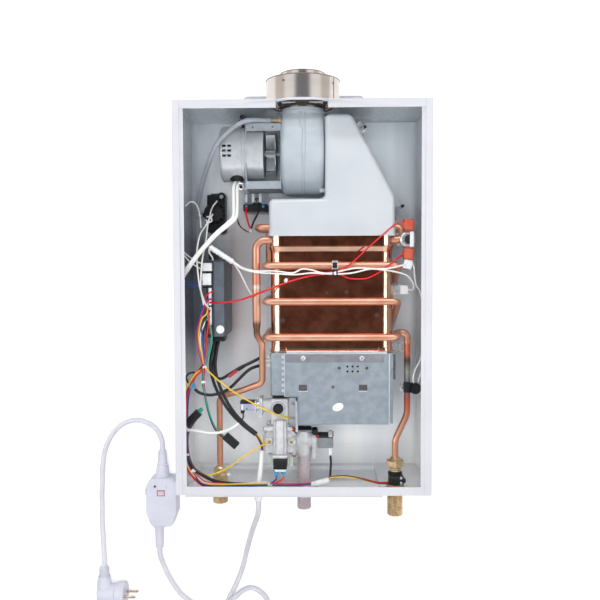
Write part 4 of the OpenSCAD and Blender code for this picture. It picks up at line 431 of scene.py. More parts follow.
def flowing(points, steps=5, floor=None):
    """A smooth curve through all points; with a floor it stays above it."""
    points = [Vector(p) for p in rows(points)]
    ends = [points[0] * 2 - points[1]] + points + [points[-1] * 2 - points[-2]]
    path = []
    for a, b, c, d in zip(ends, ends[1:], ends[2:], ends[3:]):
        for i in range(steps):
            t = i / steps
            path.append(0.5 * (2 * b + (c - a) * t + (2 * a - 5 * b + 4 * c - d) * t * t
                               + (3 * b - a - 3 * c + d) * t ** 3))
    path.append(points[-1])
    if floor is not None:
        for p in path:
            p.z = max(p.z, floor)
    return path


def oval(x, y, z, wide, high, sides=32):
    """The points of a level oval with two half axes."""
    return [Vector((x + wide * math.cos(a), y + high * math.sin(a), z))
            for a in (2 * math.pi * i / sides for i in range(sides))]


# Turns that lay a shape's own upright along each axis
TURN = {"X": Matrix(((0, 0, 1), (1, 0, 0), (0, 1, 0))), "Y": Matrix(((0, 1, 0), (0, 0, 1), (1, 0, 0))),
        "Z": Matrix.Identity(3)}


class Piece:
    """Gathers shapes of several finishes into one mesh that stands for solids of the frame."""

    def __init__(self, name):
        self.name, self.mesh, self.finishes = name, bmesh.new(), []

    def take(self, part, skin, place=None):
        """Adds one shape, cleaned, smooth and of one finish."""
        if skin not in self.finishes:
            self.finishes.append(skin)
        bmesh.ops.remove_doubles(part, verts=part.verts, dist=0.001)
        bmesh.ops.recalc_face_normals(part, faces=part.faces)
        if place:
            part.transform(place)
        for face in part.faces:
            face.smooth = True
            face.material_index = self.finishes.index(skin)
        scratch = bpy.data.meshes.new("scratch")
        part.to_mesh(scratch)
        part.free()
        self.mesh.from_mesh(scratch)
        bpy.data.meshes.remove(scratch)

    def block(self, x, y, z, skin, edge=0.6, turn=0, segments=2):
        """A box between three pairs of limits, its edges rounded, turned flat about its middle."""
        part = bmesh.new()
        bmesh.ops.create_cube(part, size=1)
        bmesh.ops.scale(part, vec=(x[1] - x[0], y[1] - y[0], z[1] - z[0]), verts=part.verts)
        if edge:
            bmesh.ops.bevel(part, geom=part.edges, offset=edge, segments=segments, profile=0.5, affect="EDGES")
        middle = Vector((sum(x) / 2, sum(y) / 2, sum(z) / 2))
        self.take(part, skin, Matrix.Translation(middle) @ Matrix.Rotation(math.radians(turn), 4, "Z"))

    def loft(self, rings, skin, joined=False, place=None):
        """Skins rings of equal count and closes both ends, or joins the last ring to the first."""
        part = bmesh.new()
        loops = [[part.verts.new(p) for p in ring] for ring in rings]
        for low, high in zip(loops, loops[1:] + (loops[:1] if joined else [])):
            for a, b, c, d in zip(low, low[1:] + low[:1], high[1:] + high[:1], high):
                part.faces.new((a, b, c, d))
        if not joined:
            part.faces.new(loops[0])
            part.faces.new(loops[-1])
        self.take(part, skin, place)

    def turned(self, axis, middle, profile, skin, sides=48, joined=False, place=None):
        """Turns pairs of place along the axis and radius round an axis through the middle."""
        rings = [[Vector(middle) + TURN[axis] @ p for p in oval(0, 0, s, max(r, 0.0001), max(r, 0.0001), sides)]
                 for s, r in rows(profile)]
        self.loft(rings, skin, joined, place)

    def tube(self, path, radius, skin, sides=12):
        """A round bar along a path, with one radius or one for each point."""
        path = [Vector(p) for p in rows(path)]
        runs = [(b - a).normalized() for a, b in zip(path, path[1:])]
        ways = [runs[0]] + [(a + b).normalized() for a, b in zip(runs, runs[1:])] + [runs[-1]]
        side = ways[0].cross(Vector((0, 1, 0) if abs(ways[0].z) > 0.9 else (0, 0, 1))).normalized()
        rings = []
        for i, (point, way) in enumerate(zip(path, ways)):
            side = (side - way * side.dot(way)).normalized()
            other = way.cross(side)
            r = radius[i] if isinstance(radius, list) else radius
            rings.append([point + r * (math.cos(a) * side + math.sin(a) * other)
                          for a in (2 * math.pi * k / sides for k in range(sides))])
        self.loft(rings, skin)

    def plate(self, outline, low, high, skin, holes=(), axis="Z", edge=0.0):
        """A flat outline with holes, given a thickness along an axis; an edge rounds the outline's rim."""
        part, outline = bmesh.new(), rows(outline)
        for loop in [outline, *holes]:
            corners = [part.verts.new((p[0], p[1], low)) for p in loop]
            for a, b in zip(corners, corners[1:] + corners[:1]):
                part.edges.new((a, b))
        bmesh.ops.triangle_fill(part, use_beauty=True, use_dissolve=False, edges=part.edges)
        bmesh.ops.dissolve_limit(part, angle_limit=0.01, verts=part.verts, edges=part.edges)
        raised = bmesh.ops.extrude_face_region(part, geom=part.faces[:])["geom"]
        bmesh.ops.translate(part, vec=(0, 0, high - low),
                            verts=[v for v in raised if isinstance(v, bmesh.types.BMVert)])
        if edge:
            rim = {(round(p[0], 3), round(p[1], 3)) for p in outline}
            rims = [e for e in part.edges if len(e.link_faces) == 2 and e.calc_face_angle(0) > 0.8
                    and all((round(v.co.x, 3), round(v.co.y, 3)) in rim for v in e.verts)]
            bmesh.ops.bevel(part, geom=rims, offset=edge, segments=2, profile=0.5, affect="EDGES")
        self.take(part, skin, TURN[axis].to_4x4())

    def done(self, *nodes, slot=None, sharp=38):
        """Turns what was gathered into an object of the scene that stands for the nodes."""
        mesh = bpy.data.meshes.new(self.name)
        self.mesh.transform(Matrix.Scale(MM, 4))
        self.mesh.to_mesh(mesh)
        self.mesh.free()
        for skin in self.finishes:
            mesh.materials.append(skin)
        mesh.set_sharp_from_angle(angle=math.radians(sharp))
        piece = put(self.name, mesh)
        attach(piece, "heater")
        if nodes:
            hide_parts(*nodes)
        return piece


# ---------------------------------------------------------------- mains cord

CORD_R = 3.7
to_coil = rows("-61 -249.3 118, -61 -272 118, -61 -284 115, -63 -296 107, -67 -308 95, -71 -321 80, "
               "-75 -335 62, -79 -350 44, -83 -365 28, -87 -381 15, -91 -398 7, -96 -416 4, -102 -431 4, "
               "-109 -446 4, -116 -460 4, -122 -474 4, -127 -488 4")
to_breaker = rows("-50 -495 12.6, -50 -482 11, -54 -468 8, -61 -455 4, -71 -446 4, -83 -442 4, -95 -446 6, "
                  "-105 -453 10, -115 -461 12, -125 -469 10, -137 -475 6, -150 -475 4, -163 -471 4, "
                  "-176 -462 4, -188 -452 4, -197 -440 4, -206 -425 4, -213 -408 6, -217 -392 11, "
                  "-217.5 -380 14, -217.5 -366.2 14")
to_plug = rows("-211.5 -237.8 14, -211.5 -224 14, -213 -215 11, -218 -206 7, -226 -197 4, -238 -190 4, "
               "-253 -187 4, -269 -191 4, -283 -201 4, -294 -217 4, -301 -236 4, -304 -256 4, -305 -278 4, "
               "-306 -301 4, -306 -323 4, -306 -343 5, -304 -361 8, -302 -378 13, -300 -392 18, -300 -403 19, "
               "-300 -411.8 19")


def coil_points():
    """Two and a half turns in two layers, as the solid has them."""
    middle, turns, out_r, pitch, steps, start = (-90, -509), 2.5, 41, 8.6, 24, 170
    points = []
    for i in range(int(turns * steps) + 1):
        f, half = i / steps, turns / 2
        a = math.radians(start + 360 * f)
        r = out_r - pitch * (f if f < half else turns - f)
        climb = max(0, min(1, (f - half + 0.25) * 2))
        points.append([middle[0] + r * math.cos(a), middle[1] + r * math.sin(a),
                       CORD_R + 0.3 + pitch * (3 * climb ** 2 - 2 * climb ** 3)])
    return points


def lay_cord(name, points, nodes, fittings):
    """Draws one cord over its nodes."""
    path = flowing(points, 4, 3.9)
    cord = Piece(name)
    cord.tube(path, CORD_R, cord_vinyl, 20)
    piece = cord.done(*nodes, slot="cord_sheath")


# ---------------------------------------------------------------- copper tubes

COIL_R, FIN_TUBE_R = 4.75, 5.25
ROW_Y, LOW_ROW_Y = 94, 77
ROWS = [(ROW_Y, JACKET_BACK + 17), (ROW_Y, JACKET_BACK + 40), (ROW_Y, JACKET_BACK + 76),
        (LOW_ROW_Y, JACKET_BACK + 88)]
COIL_LEFT, COIL_RIGHT, COIL_FRONT, COIL_BACK = -49.25, 124.25, 130.15, 21.55
COIL_LOW, COIL_RISE, INLET_X, INLET_TOP = -51, 47, 139.5, -47


def water_tubes():
    """One tube wound three times round the copper box, then four passes through the fins."""
    a, b, c, d = ROWS
    turns = []
    for i in range(3):
        y = COIL_LOW + i * COIL_RISE
        turns += [[COIL_RIGHT, y, COIL_FRONT], [COIL_LEFT, y, COIL_FRONT]]
        if i < 2:
            turns += [[COIL_LEFT, y, COIL_BACK], [COIL_RIGHT, y, COIL_BACK]]
    y = COIL_LOW + 2 * COIL_RISE
    route = [[INLET_X, INLET_TOP - 14, 104], [INLET_X, INLET_TOP, 104],
             [COIL_RIGHT, INLET_TOP, 104]] + turns + [[COIL_LEFT, y, a[1]], [COIL_LEFT, a[0], a[1]],
             [JACKET_LEFT + 2.8, a[0], a[1]]]
    coil = Piece("wound_tube")
    coil.tube(rounded(route, 7.5), COIL_R, copper_tube, 28)
    coil.done("coil_tube", slot="copper")
    left, right = JACKET_LEFT - 17, JACKET_RIGHT + 13
    route = [[JACKET_LEFT + 3, *a], [right, *a], [right, *b], [left, *b], [left, *c], [right, *c], [right, *d],
             [JACKET_LEFT - 3, *d]]
    fins = Piece("finned_tube")
    fins.tube(rounded(route, 7.35), FIN_TUBE_R, copper_tube, 28)
    fins.done("fin_tube", slot="copper")


def outlet_riser():
    """The hot pipe: a riser from the fins and the slimmer pipe from its brazed joint down to the outlet."""
    riser_x, z, reducer_y = -62, ROWS[3][1], -35
    riser = rounded([[JACKET_LEFT - 3.2, LOW_ROW_Y, z], [riser_x, LOW_ROW_Y, z], [riser_x, reducer_y, z]], 12)
    slim = rounded([[riser_x, reducer_y - 7, z], [riser_x, reducer_y - 14, z], [-55, reducer_y - 26, z],
                    [-55, -114, z - 4], [-87, -127, 99], [-115, -135, 95], [-115, -242, 95]], 11)
    pipe = Piece("riser")
    pipe.tube(riser + slim, [5.3] * len(riser) + [4.2] * len(slim), riser_tube, 28)
    pipe.done("outlet_pipe", slot="copper")


def cold_pipe():
    """The cold pipe from the flow sensor up to the wound tube."""
    route = [[122.5, -224, 112], [122.5, -191, 112], [INLET_X, -157, 104], [INLET_X, INLET_TOP - 14.2, 104]]
    pipe = Piece("cold_pipe")
    pipe.tube(rounded(route, 24), 4.3, inlet_tube, 28)
    pipe.done("inlet_pipe", slot="copper")


water_tubes()
outlet_riser()
cold_pipe()


# ---------------------------------------------------------------- hose, wires and harness

HOSE = rows("-42.2 236.8 98, -52 236.8 99, -63 236.5 105, -76 234 111, -89 227 113, -102 216 114, "
            "-112 205 114, -120 193 109, -129 177 92, -138 162 70, -145 147 52, -150 136 38, -155 126 27, "
            "-156.5 119.5 19, -153 117 17, -147.3 117 17")
hose = Piece("pressure_tube")
hose.tube(flowing(HOSE), 3.3, hose_vinyl, 18)
hose.done("pressure_hose", slot="grey_rubber")


def strand_round(route, angle, out, twist, phase):
    """A strand that wanders round a route at a small distance."""
    path = flowing(route, 4)
    result = []
    for i, p in enumerate(path):
        way = (path[min(i + 1, len(path) - 1)] - path[max(i - 1, 0)]).normalized()
        side = way.cross(Vector((0, 0, 1))).normalized()
        a = angle + twist * math.sin(i * 0.11 + phase)
        r = out * (0.8 + 0.35 * math.sin(i * 0.17 + 2 * phase))
        result.append(p + r * (math.cos(a) * side + math.sin(a) * way.cross(side)))
    return result


# Each run has its colours, the wires' radius, how far they stand apart, and after a colon its route.
LOOM_RUNS = """
y 1.05 0: -129 -3 104.8, -129.5 -20 106, -136 -27 107, -140 -43 108, -140 -59 109, -136 -76 111,
    -133.4 -91 112;
t 1.05 0: -129 -3 103.8, -128.3 -15 105, -128.3 -27 106, -124.2 -43 107, -122.9 -56 108, -125.6 -72 109,
    -130.8 -88 111, -134 -95 112;
b 1.05 0: -127 0 104, -135 -9 105.5, -139 -27 106, -136 -49 108, -133.5 -72 110, -133.4 -91 112;
r 1.05 0: -121.6 9.5 103, -128 5.5 104, -132 -2.5 105, -127 -23 106, -129.5 -49 108, -132 -76 110,
    -133.4 -91 112;
m 1.05 0: -122 0 103, -130 -6 106, -137.5 -24 107, -142.5 -46 108, -141 -70 109.5, -134.5 -92 112;
w 1 0: -126 -22 103, -133 -34 105, -138 -48 107, -138.5 -62 108.5, -135.5 -78 110.5, -133.4 -90 112;
k 1 0: -126 -16 103, -131 -30 104.5, -134.5 -46 106, -134.5 -62 108, -133 -78 110, -133.4 -90 112;
o 1 0: -126 -36 103, -130 -46 105, -131 -60 107, -131.5 -76 109, -133 -90 112;
rmwkrbyk 1.15 2.9: -133.4 -89 112, -138 -95 112, -144.2 -101 112, -152.5 -115 112, -157.4 -130 113,
    -159 -150 114, -159.2 -176 116, -159.6 -196 118, -158 -214 119, -152.2 -229 121, -140.6 -240 127,
    -129.4 -246 131, -104 -246.5 134, -77 -246 134, -47 -245 134;
kbnk 1.1 2: -141 -156 113, -150 -168 115, -156.5 -181 116, -156.5 -203 118, -149.6 -225 120, -131.5 -237 125,
    -111 -243 131, -77 -245 134, -47 -245 134;
krb 1 1.5: -48 -245 134, -24.5 -245.6 134, -4.7 -245.8 133, 11 -245 131;
yrn 0.9 1.1: 32 -241 126, 35 -238.5 123, 55 -236.3 124, 72 -238.7 125, 88 -242.7 125, 101 -246 124,
    116 -246.5 121;
kmt 0.9 1.5: -133.5 -90 112, -134.8 -112 113, -132 -130 114, -128 -150 114, -121 -170 115, -113 -182 114,
    -105.5 -188 112"""
TIES = rows("-133.6 -92 112 0.3 -1, -134.6 -112 113 0 -1, -159.2 -174 116 0 -1, -157 -209 118.4 0 -1, "
            "-148.5 -230 122.5 0.6 -0.8, -45.6 -245.3 134 1 0")

LEAD_RUNS = """
ww 2.2 2.3: -89 164.8 81, -89 158 83, -91.5 150 90, -90.4 126 104, -90.8 108 112, -99 98.6 115, -116 84 118,
    -135.6 61.7 122, -148.5 44.6 125, -159.7 29 124;
w 1.1 0: -92 49 118, -79 40.4 122, -60 36.4 130, -36 36.4 136, -14 33.7 138, -1 38.8 139, 12 37.5 139,
    25 33.6 139, 38 33.5 139.5, 54.6 37.3 139, 71.4 40 139, 93.4 38.5 138, 113 39.7 136.5, 126 42.4 133,
    133 44 131, 135 45 129;
w 1.1 0: -92 47 118, -79 39 121, -60 34.4 130, -36 33 136, -10 31.7 138, 12 33.6 138.5, 38 32.2 139.5,
    63.6 33.4 139, 87 38.5 138, 106.4 37 137, 121 34.5 134, 134.6 30.5 128, 142 24 122, 146.5 16 114,
    146 10.5 106, 140 10 102;
w 1.1 0: -93 48 116, -85.6 36.4 110, -78 20 104, -73 9.3 100, -66.7 1 98;
w 1.1 0: -123.5 69 117, -125 62 112, -122 55 104, -122 51.5 99.5;
r 1.3 0: -126 -6 104, -111 -6.2 112, -83.7 -2 118, -53.7 8.8 128, -23 20.7 136, 3 28.4 136, 25 32.3 136.6,
    39 34.8 136.6;
r 1 0: 24 31 136.8, 39 34.5 137.5, 54.7 40 137.5, 67.6 50.2 137, 87 68.2 137, 106.5 85 135, 121 96.5 129,
    131.7 99 124;
r 1 0: 30 32.5 137.6, 45.6 32.5 137.8, 58.6 27 137, 71.5 25.6 136.5, 84.5 27 136.5, 97.4 33.3 136.5,
    110 42.3 137, 121 51.3 134, 131.6 57.5 125;
w 0.9 0: -163 126 72, -156.6 131.7 72, -150 130.4 70, -146.6 123.8 66, -144.5 113 62, -143.6 96.4 60;
w 1.1 0: -124 136 36, -130 125.4 45, -132.5 109 58, -136 98.6 70, -140.4 85.4 90, -142.5 64.7 104,
    -141.7 48.6 110, -140 31 112, -137.7 14 112, -131.5 -6.3 110, -127 -13 105;
w 1.1 0: -128 116 52, -133 104 62, -132.3 78.5 90, -133 64.7 104, -135 48.5 110, -136.5 31 110, -137 11 110,
    -134 -9 106;
w 1 0: -136 112 56, -130 112 60, -128.5 106 60, -134 104 60, -137 108 57;
y 1.1 0: -131.8 -93 114, -111 -111.5 118, -84 -129.6 122, -55 -145.3 124, -38 -153.7 122, -30 -157.2 118,
    -21 -161 112, -17 -162.2 107;
y 1.1 0: -47.5 -195 110.9, -57 -199 110, -68 -205 112, -86 -217 114, -104 -229 115, -122 -236 118,
    -142 -235 121;
kk 2.1 2.9: -118.5 -56.6 84, -122 -74 92, -123 -92 102, -119 -111 106, -109.8 -132 110, -96 -153 113,
    -81 -169 113, -64.5 -184 108;
byn 1.1 1.6: -66 -182 108, -60 -191 105, -56 -202 102, -56.5 -211 102;
w 3.5 0: -57 -208 102, -58 -226 106, -59.5 -241 113, -61 -249 118;
k 2.1 0: -57.1 -80.3 98, -68 -86 101, -85.5 -94 106, -99 -102 108, -111 -108.5 108, -119.5 -105 106,
    -123 -94.6 100, -122 -76 84, -120 -58 70;
k 2.1 0: -57.1 -91.3 98, -72.4 -96.2 103, -85.5 -107.7 108, -98.7 -120.5 112, -112 -127 114,
    -125.4 -129.6 114, -139 -127 113, -146 -122 112;
k 1.3 0: -146 -99 113, -153 -100.5 113, -157.5 -106 112, -155 -113 112, -149.8 -117.8 112;
w 2 0: -85.6 -166.6 112, -96 -174 114, -109.7 -179.7 114, -125.6 -180.6 116, -141.4 -177.5 118, -156 -176 118;
n 1.1 0: -82.4 -155 104, -81.6 -161 107, -85 -167 111;
b 1.1 0: -44 -244 134, -40 -243 128, -36.5 -241 122, -36.5 -236.2 121;
o 1.1 0: -40 -244 134, -33 -242.6 128, -27.5 -241 122, -27.5 -236.2 121;
k 1.5 0: 35.8 -213.5 93, 36.8 -224 101, 36 -233 110, 35.2 -239.5 118;
b 1 0: 35.2 -238 117, 33.5 -244 118, 28 -248.5 118;
b 1.4 0: -163 24 104, -157.8 20.4 104, -149.7 17.7 104, -139 20.4 104, -136 23 102;
w 0.9 0: -163 66 105, -154 56.7 108, -140.7 48.6 108, -136 46.5 105;
w 0.9 0: -163 62 105, -151.6 48.6 107, -140 41 107, -136 38 104;
w 1 0: 141 50 124, 145.7 39.5 122, 147 30.3 118, 150 17 112, 155.7 7.5 108, 159 -6 104, 160 -19.5 104,
    161.8 -43.7 104, 161.6 -63.6 106, 157 -80.6 110, 149 -96.5 112, 146 -108 113, 148 -116 112;
w 1 0: 162 -50 104, 162 -64 106, 160.6 -86.3 108, 156 -103 112, 152.6 -112 113"""


def lay_runs(piece, runs, rng):
    """Draws single wires along their routes and twists bundles of several round theirs."""
    for run in runs.split(";"):
        head, route = run.split(":")
        colours, radius, apart = head.split()
        points, radius = rows(route), float(radius)
        if len(colours) == 1:
            piece.tube(flowing(points), radius, WIRES[colours], 10)
            continue
        swing = 0.9 if len(colours) > 2 else 0.15
        for i, letter in enumerate(colours):
            angle = i * 2 * math.pi / len(colours)
            phase = rng.uniform(0, 6) if len(colours) > 2 else 0
            piece.tube(strand_round(points, angle, float(apart), swing, phase), radius, WIRES[letter], 8)


def harness():
    """The bound wires: a fan from the control box, the run round the case, its ties and connectors."""
    loom = Piece("harness")
    lay_runs(loom, LOOM_RUNS, random.Random(4))
    for x, y, z, dx, dy in TIES:
        way = Vector((dx, dy, 0)).normalized() * 1.5
        middle = Vector((x, y, z))
        loom.tube([middle - way, middle + way], 3.1, nylon, 16)
        loom.block([x + 2, x + 4.4], [y - 1, y + 1], [z + 1, z + 4], nylon, 0.3)
    loom.block([-109, -87], [-197.5, -187], [107, 115], black_plastic, 0.8, -42)
    loom.block([-107, -101], [-192, -183], [106.5, 115.5], black_plastic, 0.6, -42)
    loom.block([-161, -137], [-167, -156], [108.5, 117], black_plastic, 0.9, 45)
    loom.tube("-140 -152 113, -136.5 -148.5 113", 2.8, WIRES["t"], 16)
    loom.block([-153.5, -146], [-121, -114.5], [109, 115], blue_crimp, 0.8, 30)
    loom.tube(flowing("10 -245.4 130, 15 -246 130.5, 20 -243.6 130, 25 -243.2 128.6, 33 -240.6 126", 3),
              [3.0, 3.8, 4.2, 3.5, 4.3, 4.6, 3.8, 4.4, 4.9, 4.0, 4.4, 4.0, 3.0], nylon, 14)
    loom.done("loom", slot="dark_wire")


def loose_leads():
    """Wires that run alone, the woven sleeve of the motor, and their tapes and joints."""
    leads = Piece("loose_leads")
    lay_runs(leads, LEAD_RUNS, random.Random(9))
    start, end, rings = Vector((-123.1, 68.3, 117)), Vector((-92.7, 48.3, 117)), 15
    leads.tube([start.lerp(end, i / (rings - 1)) for i in range(rings)],
               [3.2 + 0.7 * (i % 2) for i in range(rings)], nylon, 16)
    leads.tube("-22.6 22 137, -22 24 137.4, -20.6 26.4 137", [2.0, 2.6, 1.8], nylon, 14)
    leads.tube(flowing("-101 -105.3 108, -96 -102 108, -90 -97.6 107.4", 3), 2.6, red_seal, 14)
    leads.tube("-88 -97 107, -86 -95.4 106.6, -80 -91.5 104.6", 2.35, black_rubber, 12)
    leads.block([-61, -55], [-213, -207], [98, 106], nylon, 1.6, 8)
    leads.done("leads", slot="white_wire")


harness()
loose_leads()


# ---------------------------------------------------------------- hood, scroll and copper box

def exhaust_hood():
    """Deep-drawn hood: one outline pressed up with round edges, open below, with a step along its rim."""
    outline = rows("-44.5 82, 120.8 82, 120.8 133, 64 240, 29.2 240, 29.2 131, -44.5 131")
    low, back, front, step_y, slot_top, slot_back, slot_front = 82, 25, 128, 91.5, 106, 34, 116
    part = bmesh.new()
    floor = part.faces.new([part.verts.new((x, y, back)) for x, y in outline])
    raised = bmesh.ops.extrude_face_region(part, geom=[floor])["geom"]
    bmesh.ops.translate(part, vec=(0, 0, front - back),
                        verts=[v for v in raised if isinstance(v, bmesh.types.BMVert)])
    bmesh.ops.recalc_face_normals(part, faces=part.faces)
    rims = [e for e in part.edges if not all(abs(v.co.y - low) < 0.1 for v in e.verts)
            and not all(abs(v.co.z - back) < 0.1 for v in e.verts)]
    bmesh.ops.bevel(part, geom=rims, offset=7, segments=7, profile=0.5, affect="EDGES")
    bmesh.ops.delete(part, geom=[f for f in part.faces if all(abs(v.co.y - low) < 0.1 for v in f.verts)],
                     context="FACES")
    for spot, way in [((0, step_y, 0), (0, 1, 0)), ((0, step_y - 1, 0), (0, 1, 0)),
                      ((0, slot_top, 0), (0, 1, 0)), ((0, 0, slot_back), (0, 0, 1)),
                      ((0, 0, slot_front), (0, 0, 1))]:
        bmesh.ops.bisect_plane(part, geom=part.verts[:] + part.edges[:] + part.faces[:], plane_co=spot,
                               plane_no=way)
    walls = [f for f in part.faces if abs(f.normal.x) > 0.99 and f.calc_center_median().y < slot_top
             and slot_back < f.calc_center_median().z < slot_front]
    bmesh.ops.delete(part, geom=walls, context="FACES")
    for v in part.verts:
        if v.co.y < step_y - 0.5 and v.co.z > back + 1:
            out = 0 if abs(v.co.x - 38) <= 76 else 0.5 if v.co.x > 40 else -0.5
            v.co += Vector((out, 0, 0.5))
    bmesh.ops.solidify(part, geom=part.faces[:], thickness=1.0)
    hood = Piece("flue_hood")
    hood.take(part, hood_paint)
    hood.done("exhaust_hood", slot="hood_sheet")


def fan_scroll():
    """The drum and its neck as one drawn shell, with the lapped seam down the middle of its front."""
    drum_r, edge, half, neck_r, neck_y = 56.5, 7, 28.5, 28.7, 246
    fan_y, fan_z, flue_z = FAN[1], FAN[2], FLUE[2]
    sides, rings = 120, []
    edges = [(half - edge * (1 - math.cos(a)), drum_r - edge + edge * math.sin(a))
             for a in (i * math.pi / 12 for i in range(7))]
    slices = [(-x, r) for x, r in edges] + [(x, drum_r) for x in (-16, -8, 0, 8, 16)] + edges[::-1]
    for x, r in slices:
        reach = math.sqrt(max(neck_r ** 2 - x ** 2, 1))
        ring = []
        for i in range(sides):
            a = 2 * math.pi * i / sides
            way = Vector((0, math.sin(a), math.cos(a)))
            spots = [Vector((x, fan_y, fan_z)) + way * r, Vector((x, neck_y, flue_z - reach)),
                     Vector((x, neck_y, flue_z + reach))]
            ring.append(max(spots, key=way.dot))
        rings.append(ring)
    shell = Piece("fan_scroll")
    shell.loft(rings, scroll_zinc)
    shell.turned("Y", FLUE, "240 28.6, 247 28.9, 248 30.6, 249 31, 249.6 30.4, 250 28.7, 261 28.7, 261 27.2, "
                 "240 27.2", scroll_zinc, 72, joined=True)
    top = Vector((0, neck_y, flue_z + neck_r))
    gap = Vector((0, fan_y - top.y, fan_z - top.z))
    touch = math.atan2(top.y - fan_y, top.z - fan_z) - math.acos(drum_r / gap.length)
    arc = [Vector((0, fan_y + drum_r * math.sin(a), fan_z + drum_r * math.cos(a)))
           for a in (touch - i * (touch + math.radians(78)) / 30 for i in range(31))]
    seam = [top.lerp(arc[0], i / 4) for i in range(4)] + arc
    lap = [p for p in seam if p.y > 222]
    shell.tube([p + Vector((-3.2, 0, 0.1)) for p in lap], 1.3, scroll_zinc, 8)
    shell.tube([p + Vector((3.0, 0, 0.1)) for p in lap], 1.3, scroll_zinc, 8)
    shell.tube([p + Vector((1.6, 0, -0.9)) for p in seam if 180 < p.y < 224], 2.8, scroll_zinc, 12)
    shell.tube([p + Vector((0.8, 0, 0.2)) for p in seam if p.y < 184], 1.5, scroll_zinc, 8)
    for y, turn in [(144, 0), (239, 12)]:
        shell.block([22, 31], [y - 3, y + 3], [84, 98], scroll_zinc, 1.0, turn)
    shell.block([11, 27], [149.5, 153], [96, 99], scroll_zinc, 0.8)
    shell.turned("X", FAN, "-30.5 27, -28 29.5, -28 25, -30.5 26", scroll_zinc, 64, joined=True)
    shell.done("fan_housing", slot="zinc_sheet")


def box_ring(y, out, corner=14, steps=10):
    """One section of the copper box, a rectangle with round corners."""
    w, d, r = 80.5 + out, 49.25 + out, corner + out
    ring = []
    for cx, cz, start in [(w - r, d - r, 0), (r - w, d - r, 90), (r - w, r - d, 180), (w - r, r - d, 270)]:
        for i in range(steps + 1):
            a = math.radians(start + 90 * i / steps)
            ring.append(Vector((JACKET_X + cx + r * math.cos(a), y, JACKET_Z + cz + r * math.sin(a))))
    return ring


def copper_box():
    """The combustion box: folded foot, rolled bead below the fins and the wider head that holds them."""
    outer = rows("-71 2.4, -69.8 2.4, -69.2 0.3, -67 0, 60 0, 62 0.2, 67.4 2.4, 68.2 2.5, 69 1.9, "
                 "69.4 1.2, 111 1.2")
    box = Piece("copper_box")
    box.loft([box_ring(y, out) for y, out in outer] + [box_ring(y, out - 0.8) for y, out in reversed(outer)],
             copper_sheet, joined=True)
    for x in (-27, 104):
        box.block([x - 5, x + 5], [-72.5, -64], [124.6, 126.2], copper_sheet, 0.5)
    box.plate("112 -71, 119 -62.5, 134 -61, 141 -73, 116 -74", 98, 99, steel)
    box.done("jacket", slot="copper")


# ---------------------------------------------------------------- fan motor and its neighbours

def motor_trim():
    """Retaining clips, the clamp bolt, the joint lip and the pin below the motor."""
    trim = Piece("motor_trim")
    clip_y, clip_r = 150.5, 4.2
    for x in (-84.5, -75.5):
        ring = [Vector((x + clip_r * math.cos(a), clip_y + clip_r * math.sin(a), 90))
                for a in (math.radians(-140 + i * 28) for i in range(11))]
        trim.tube(ring, 1.2, steel, 8)
        trim.turned("Z", (x, clip_y, 0), "74 1.6, 89.5 1.6, 90.5 0.8, 90.5 0", black_plastic, 12)
    trim.turned("Y", (-80, 0, 98), "228 2.2, 240 2.2, 240 4.4, 243.5 4.4, 244.5 3, 244.5 0", black_plastic, 6)
    trim.block([-86, -73], [233, 236.5], [94, 102], black_plastic, 1.0, -12)
    trim.turned("X", FAN, "-81.6 37.2, -80.8 38.6, -78.4 38.6, -77.6 37.2", zinc_satin, 72, joined=True)
    trim.turned("X", FAN, "-110 30, -111.3 27, -112.4 14, -112.9 8, -112.9 0", zinc_satin, 48)
    trim.block([-55.5, -53.5], [146, 152], [100, 103], steel, 0.4)
    for x in (-80, -70, -60):
        trim.block([x - 2.2, x + 2.2], [131, 144], [60, 64], zinc, 1.6)
    trim.done(slot="steel")


def motor_cord_boot():
    """Rubber boot, drawn in towards the motor's leads."""
    boot = Piece("cord_boot")
    rings = []
    for y, w, d in rows("167 11 9.5, 163.5 11.5 10, 160 10 9, 158.2 7.6 7"):
        rings.append([Vector((-89 + w * math.cos(a) * (0.9 + 0.1 * math.cos(2 * a)), y, 84 + d * math.sin(a)))
                      for a in (2 * math.pi * i / 28 for i in range(28))])
    boot.loft(rings, black_rubber)
    boot.done("motor_grommet", slot="black_rubber")


def pressure_switch():
    """Black diaphragm switch: a ribbed round drum on a flanged body with a barb for the hose."""
    x, y = (-143, -114), (90, 149)
    switch = Piece("air_pressure_switch")
    switch.block([x[0] + 3, x[1]], [y[0] + 2, y[1] - 3], [1.3, 24], black_plastic, 1.2)
    switch.block([x[0] + 6, x[1] - 2], [y[0], y[1]], [1.3, 12], black_plastic, 2.0)
    switch.turned("Z", (-129, 119, 0), "20 15.5, 24.5 15.5, 25.3 14.6, 29 13, 32.4 11.8, 33.4 9.6, 33.4 4.4, "
                  "34 3.6, 34 0", black_plastic, 40)
    ribs, out = 12, 13.4
    for i in range(ribs):
        a = 2 * math.pi * i / ribs
        rx, ry = -129 + out * math.cos(a), 119 + out * math.sin(a)
        switch.block([rx - 1.4, rx + 1.4], [ry - 1, ry + 1], [23, 31], black_plastic, 0.4, math.degrees(a))
    for cy in (96, 143):
        switch.turned("Z", (-119, cy, 0), "12 6.2, 25.4 6.2, 26.2 5.4, 26.2 0", black_plastic, 24)
    switch.turned("X", (0, 117, 17), "-149.5 0, -149.5 1.6, -147 3, -145.8 2.2, -144.6 3, -142 2.4, -138 2.4",
                  black_plastic, 20)
    switch.done("pressure_switch", slot="black_plastic")


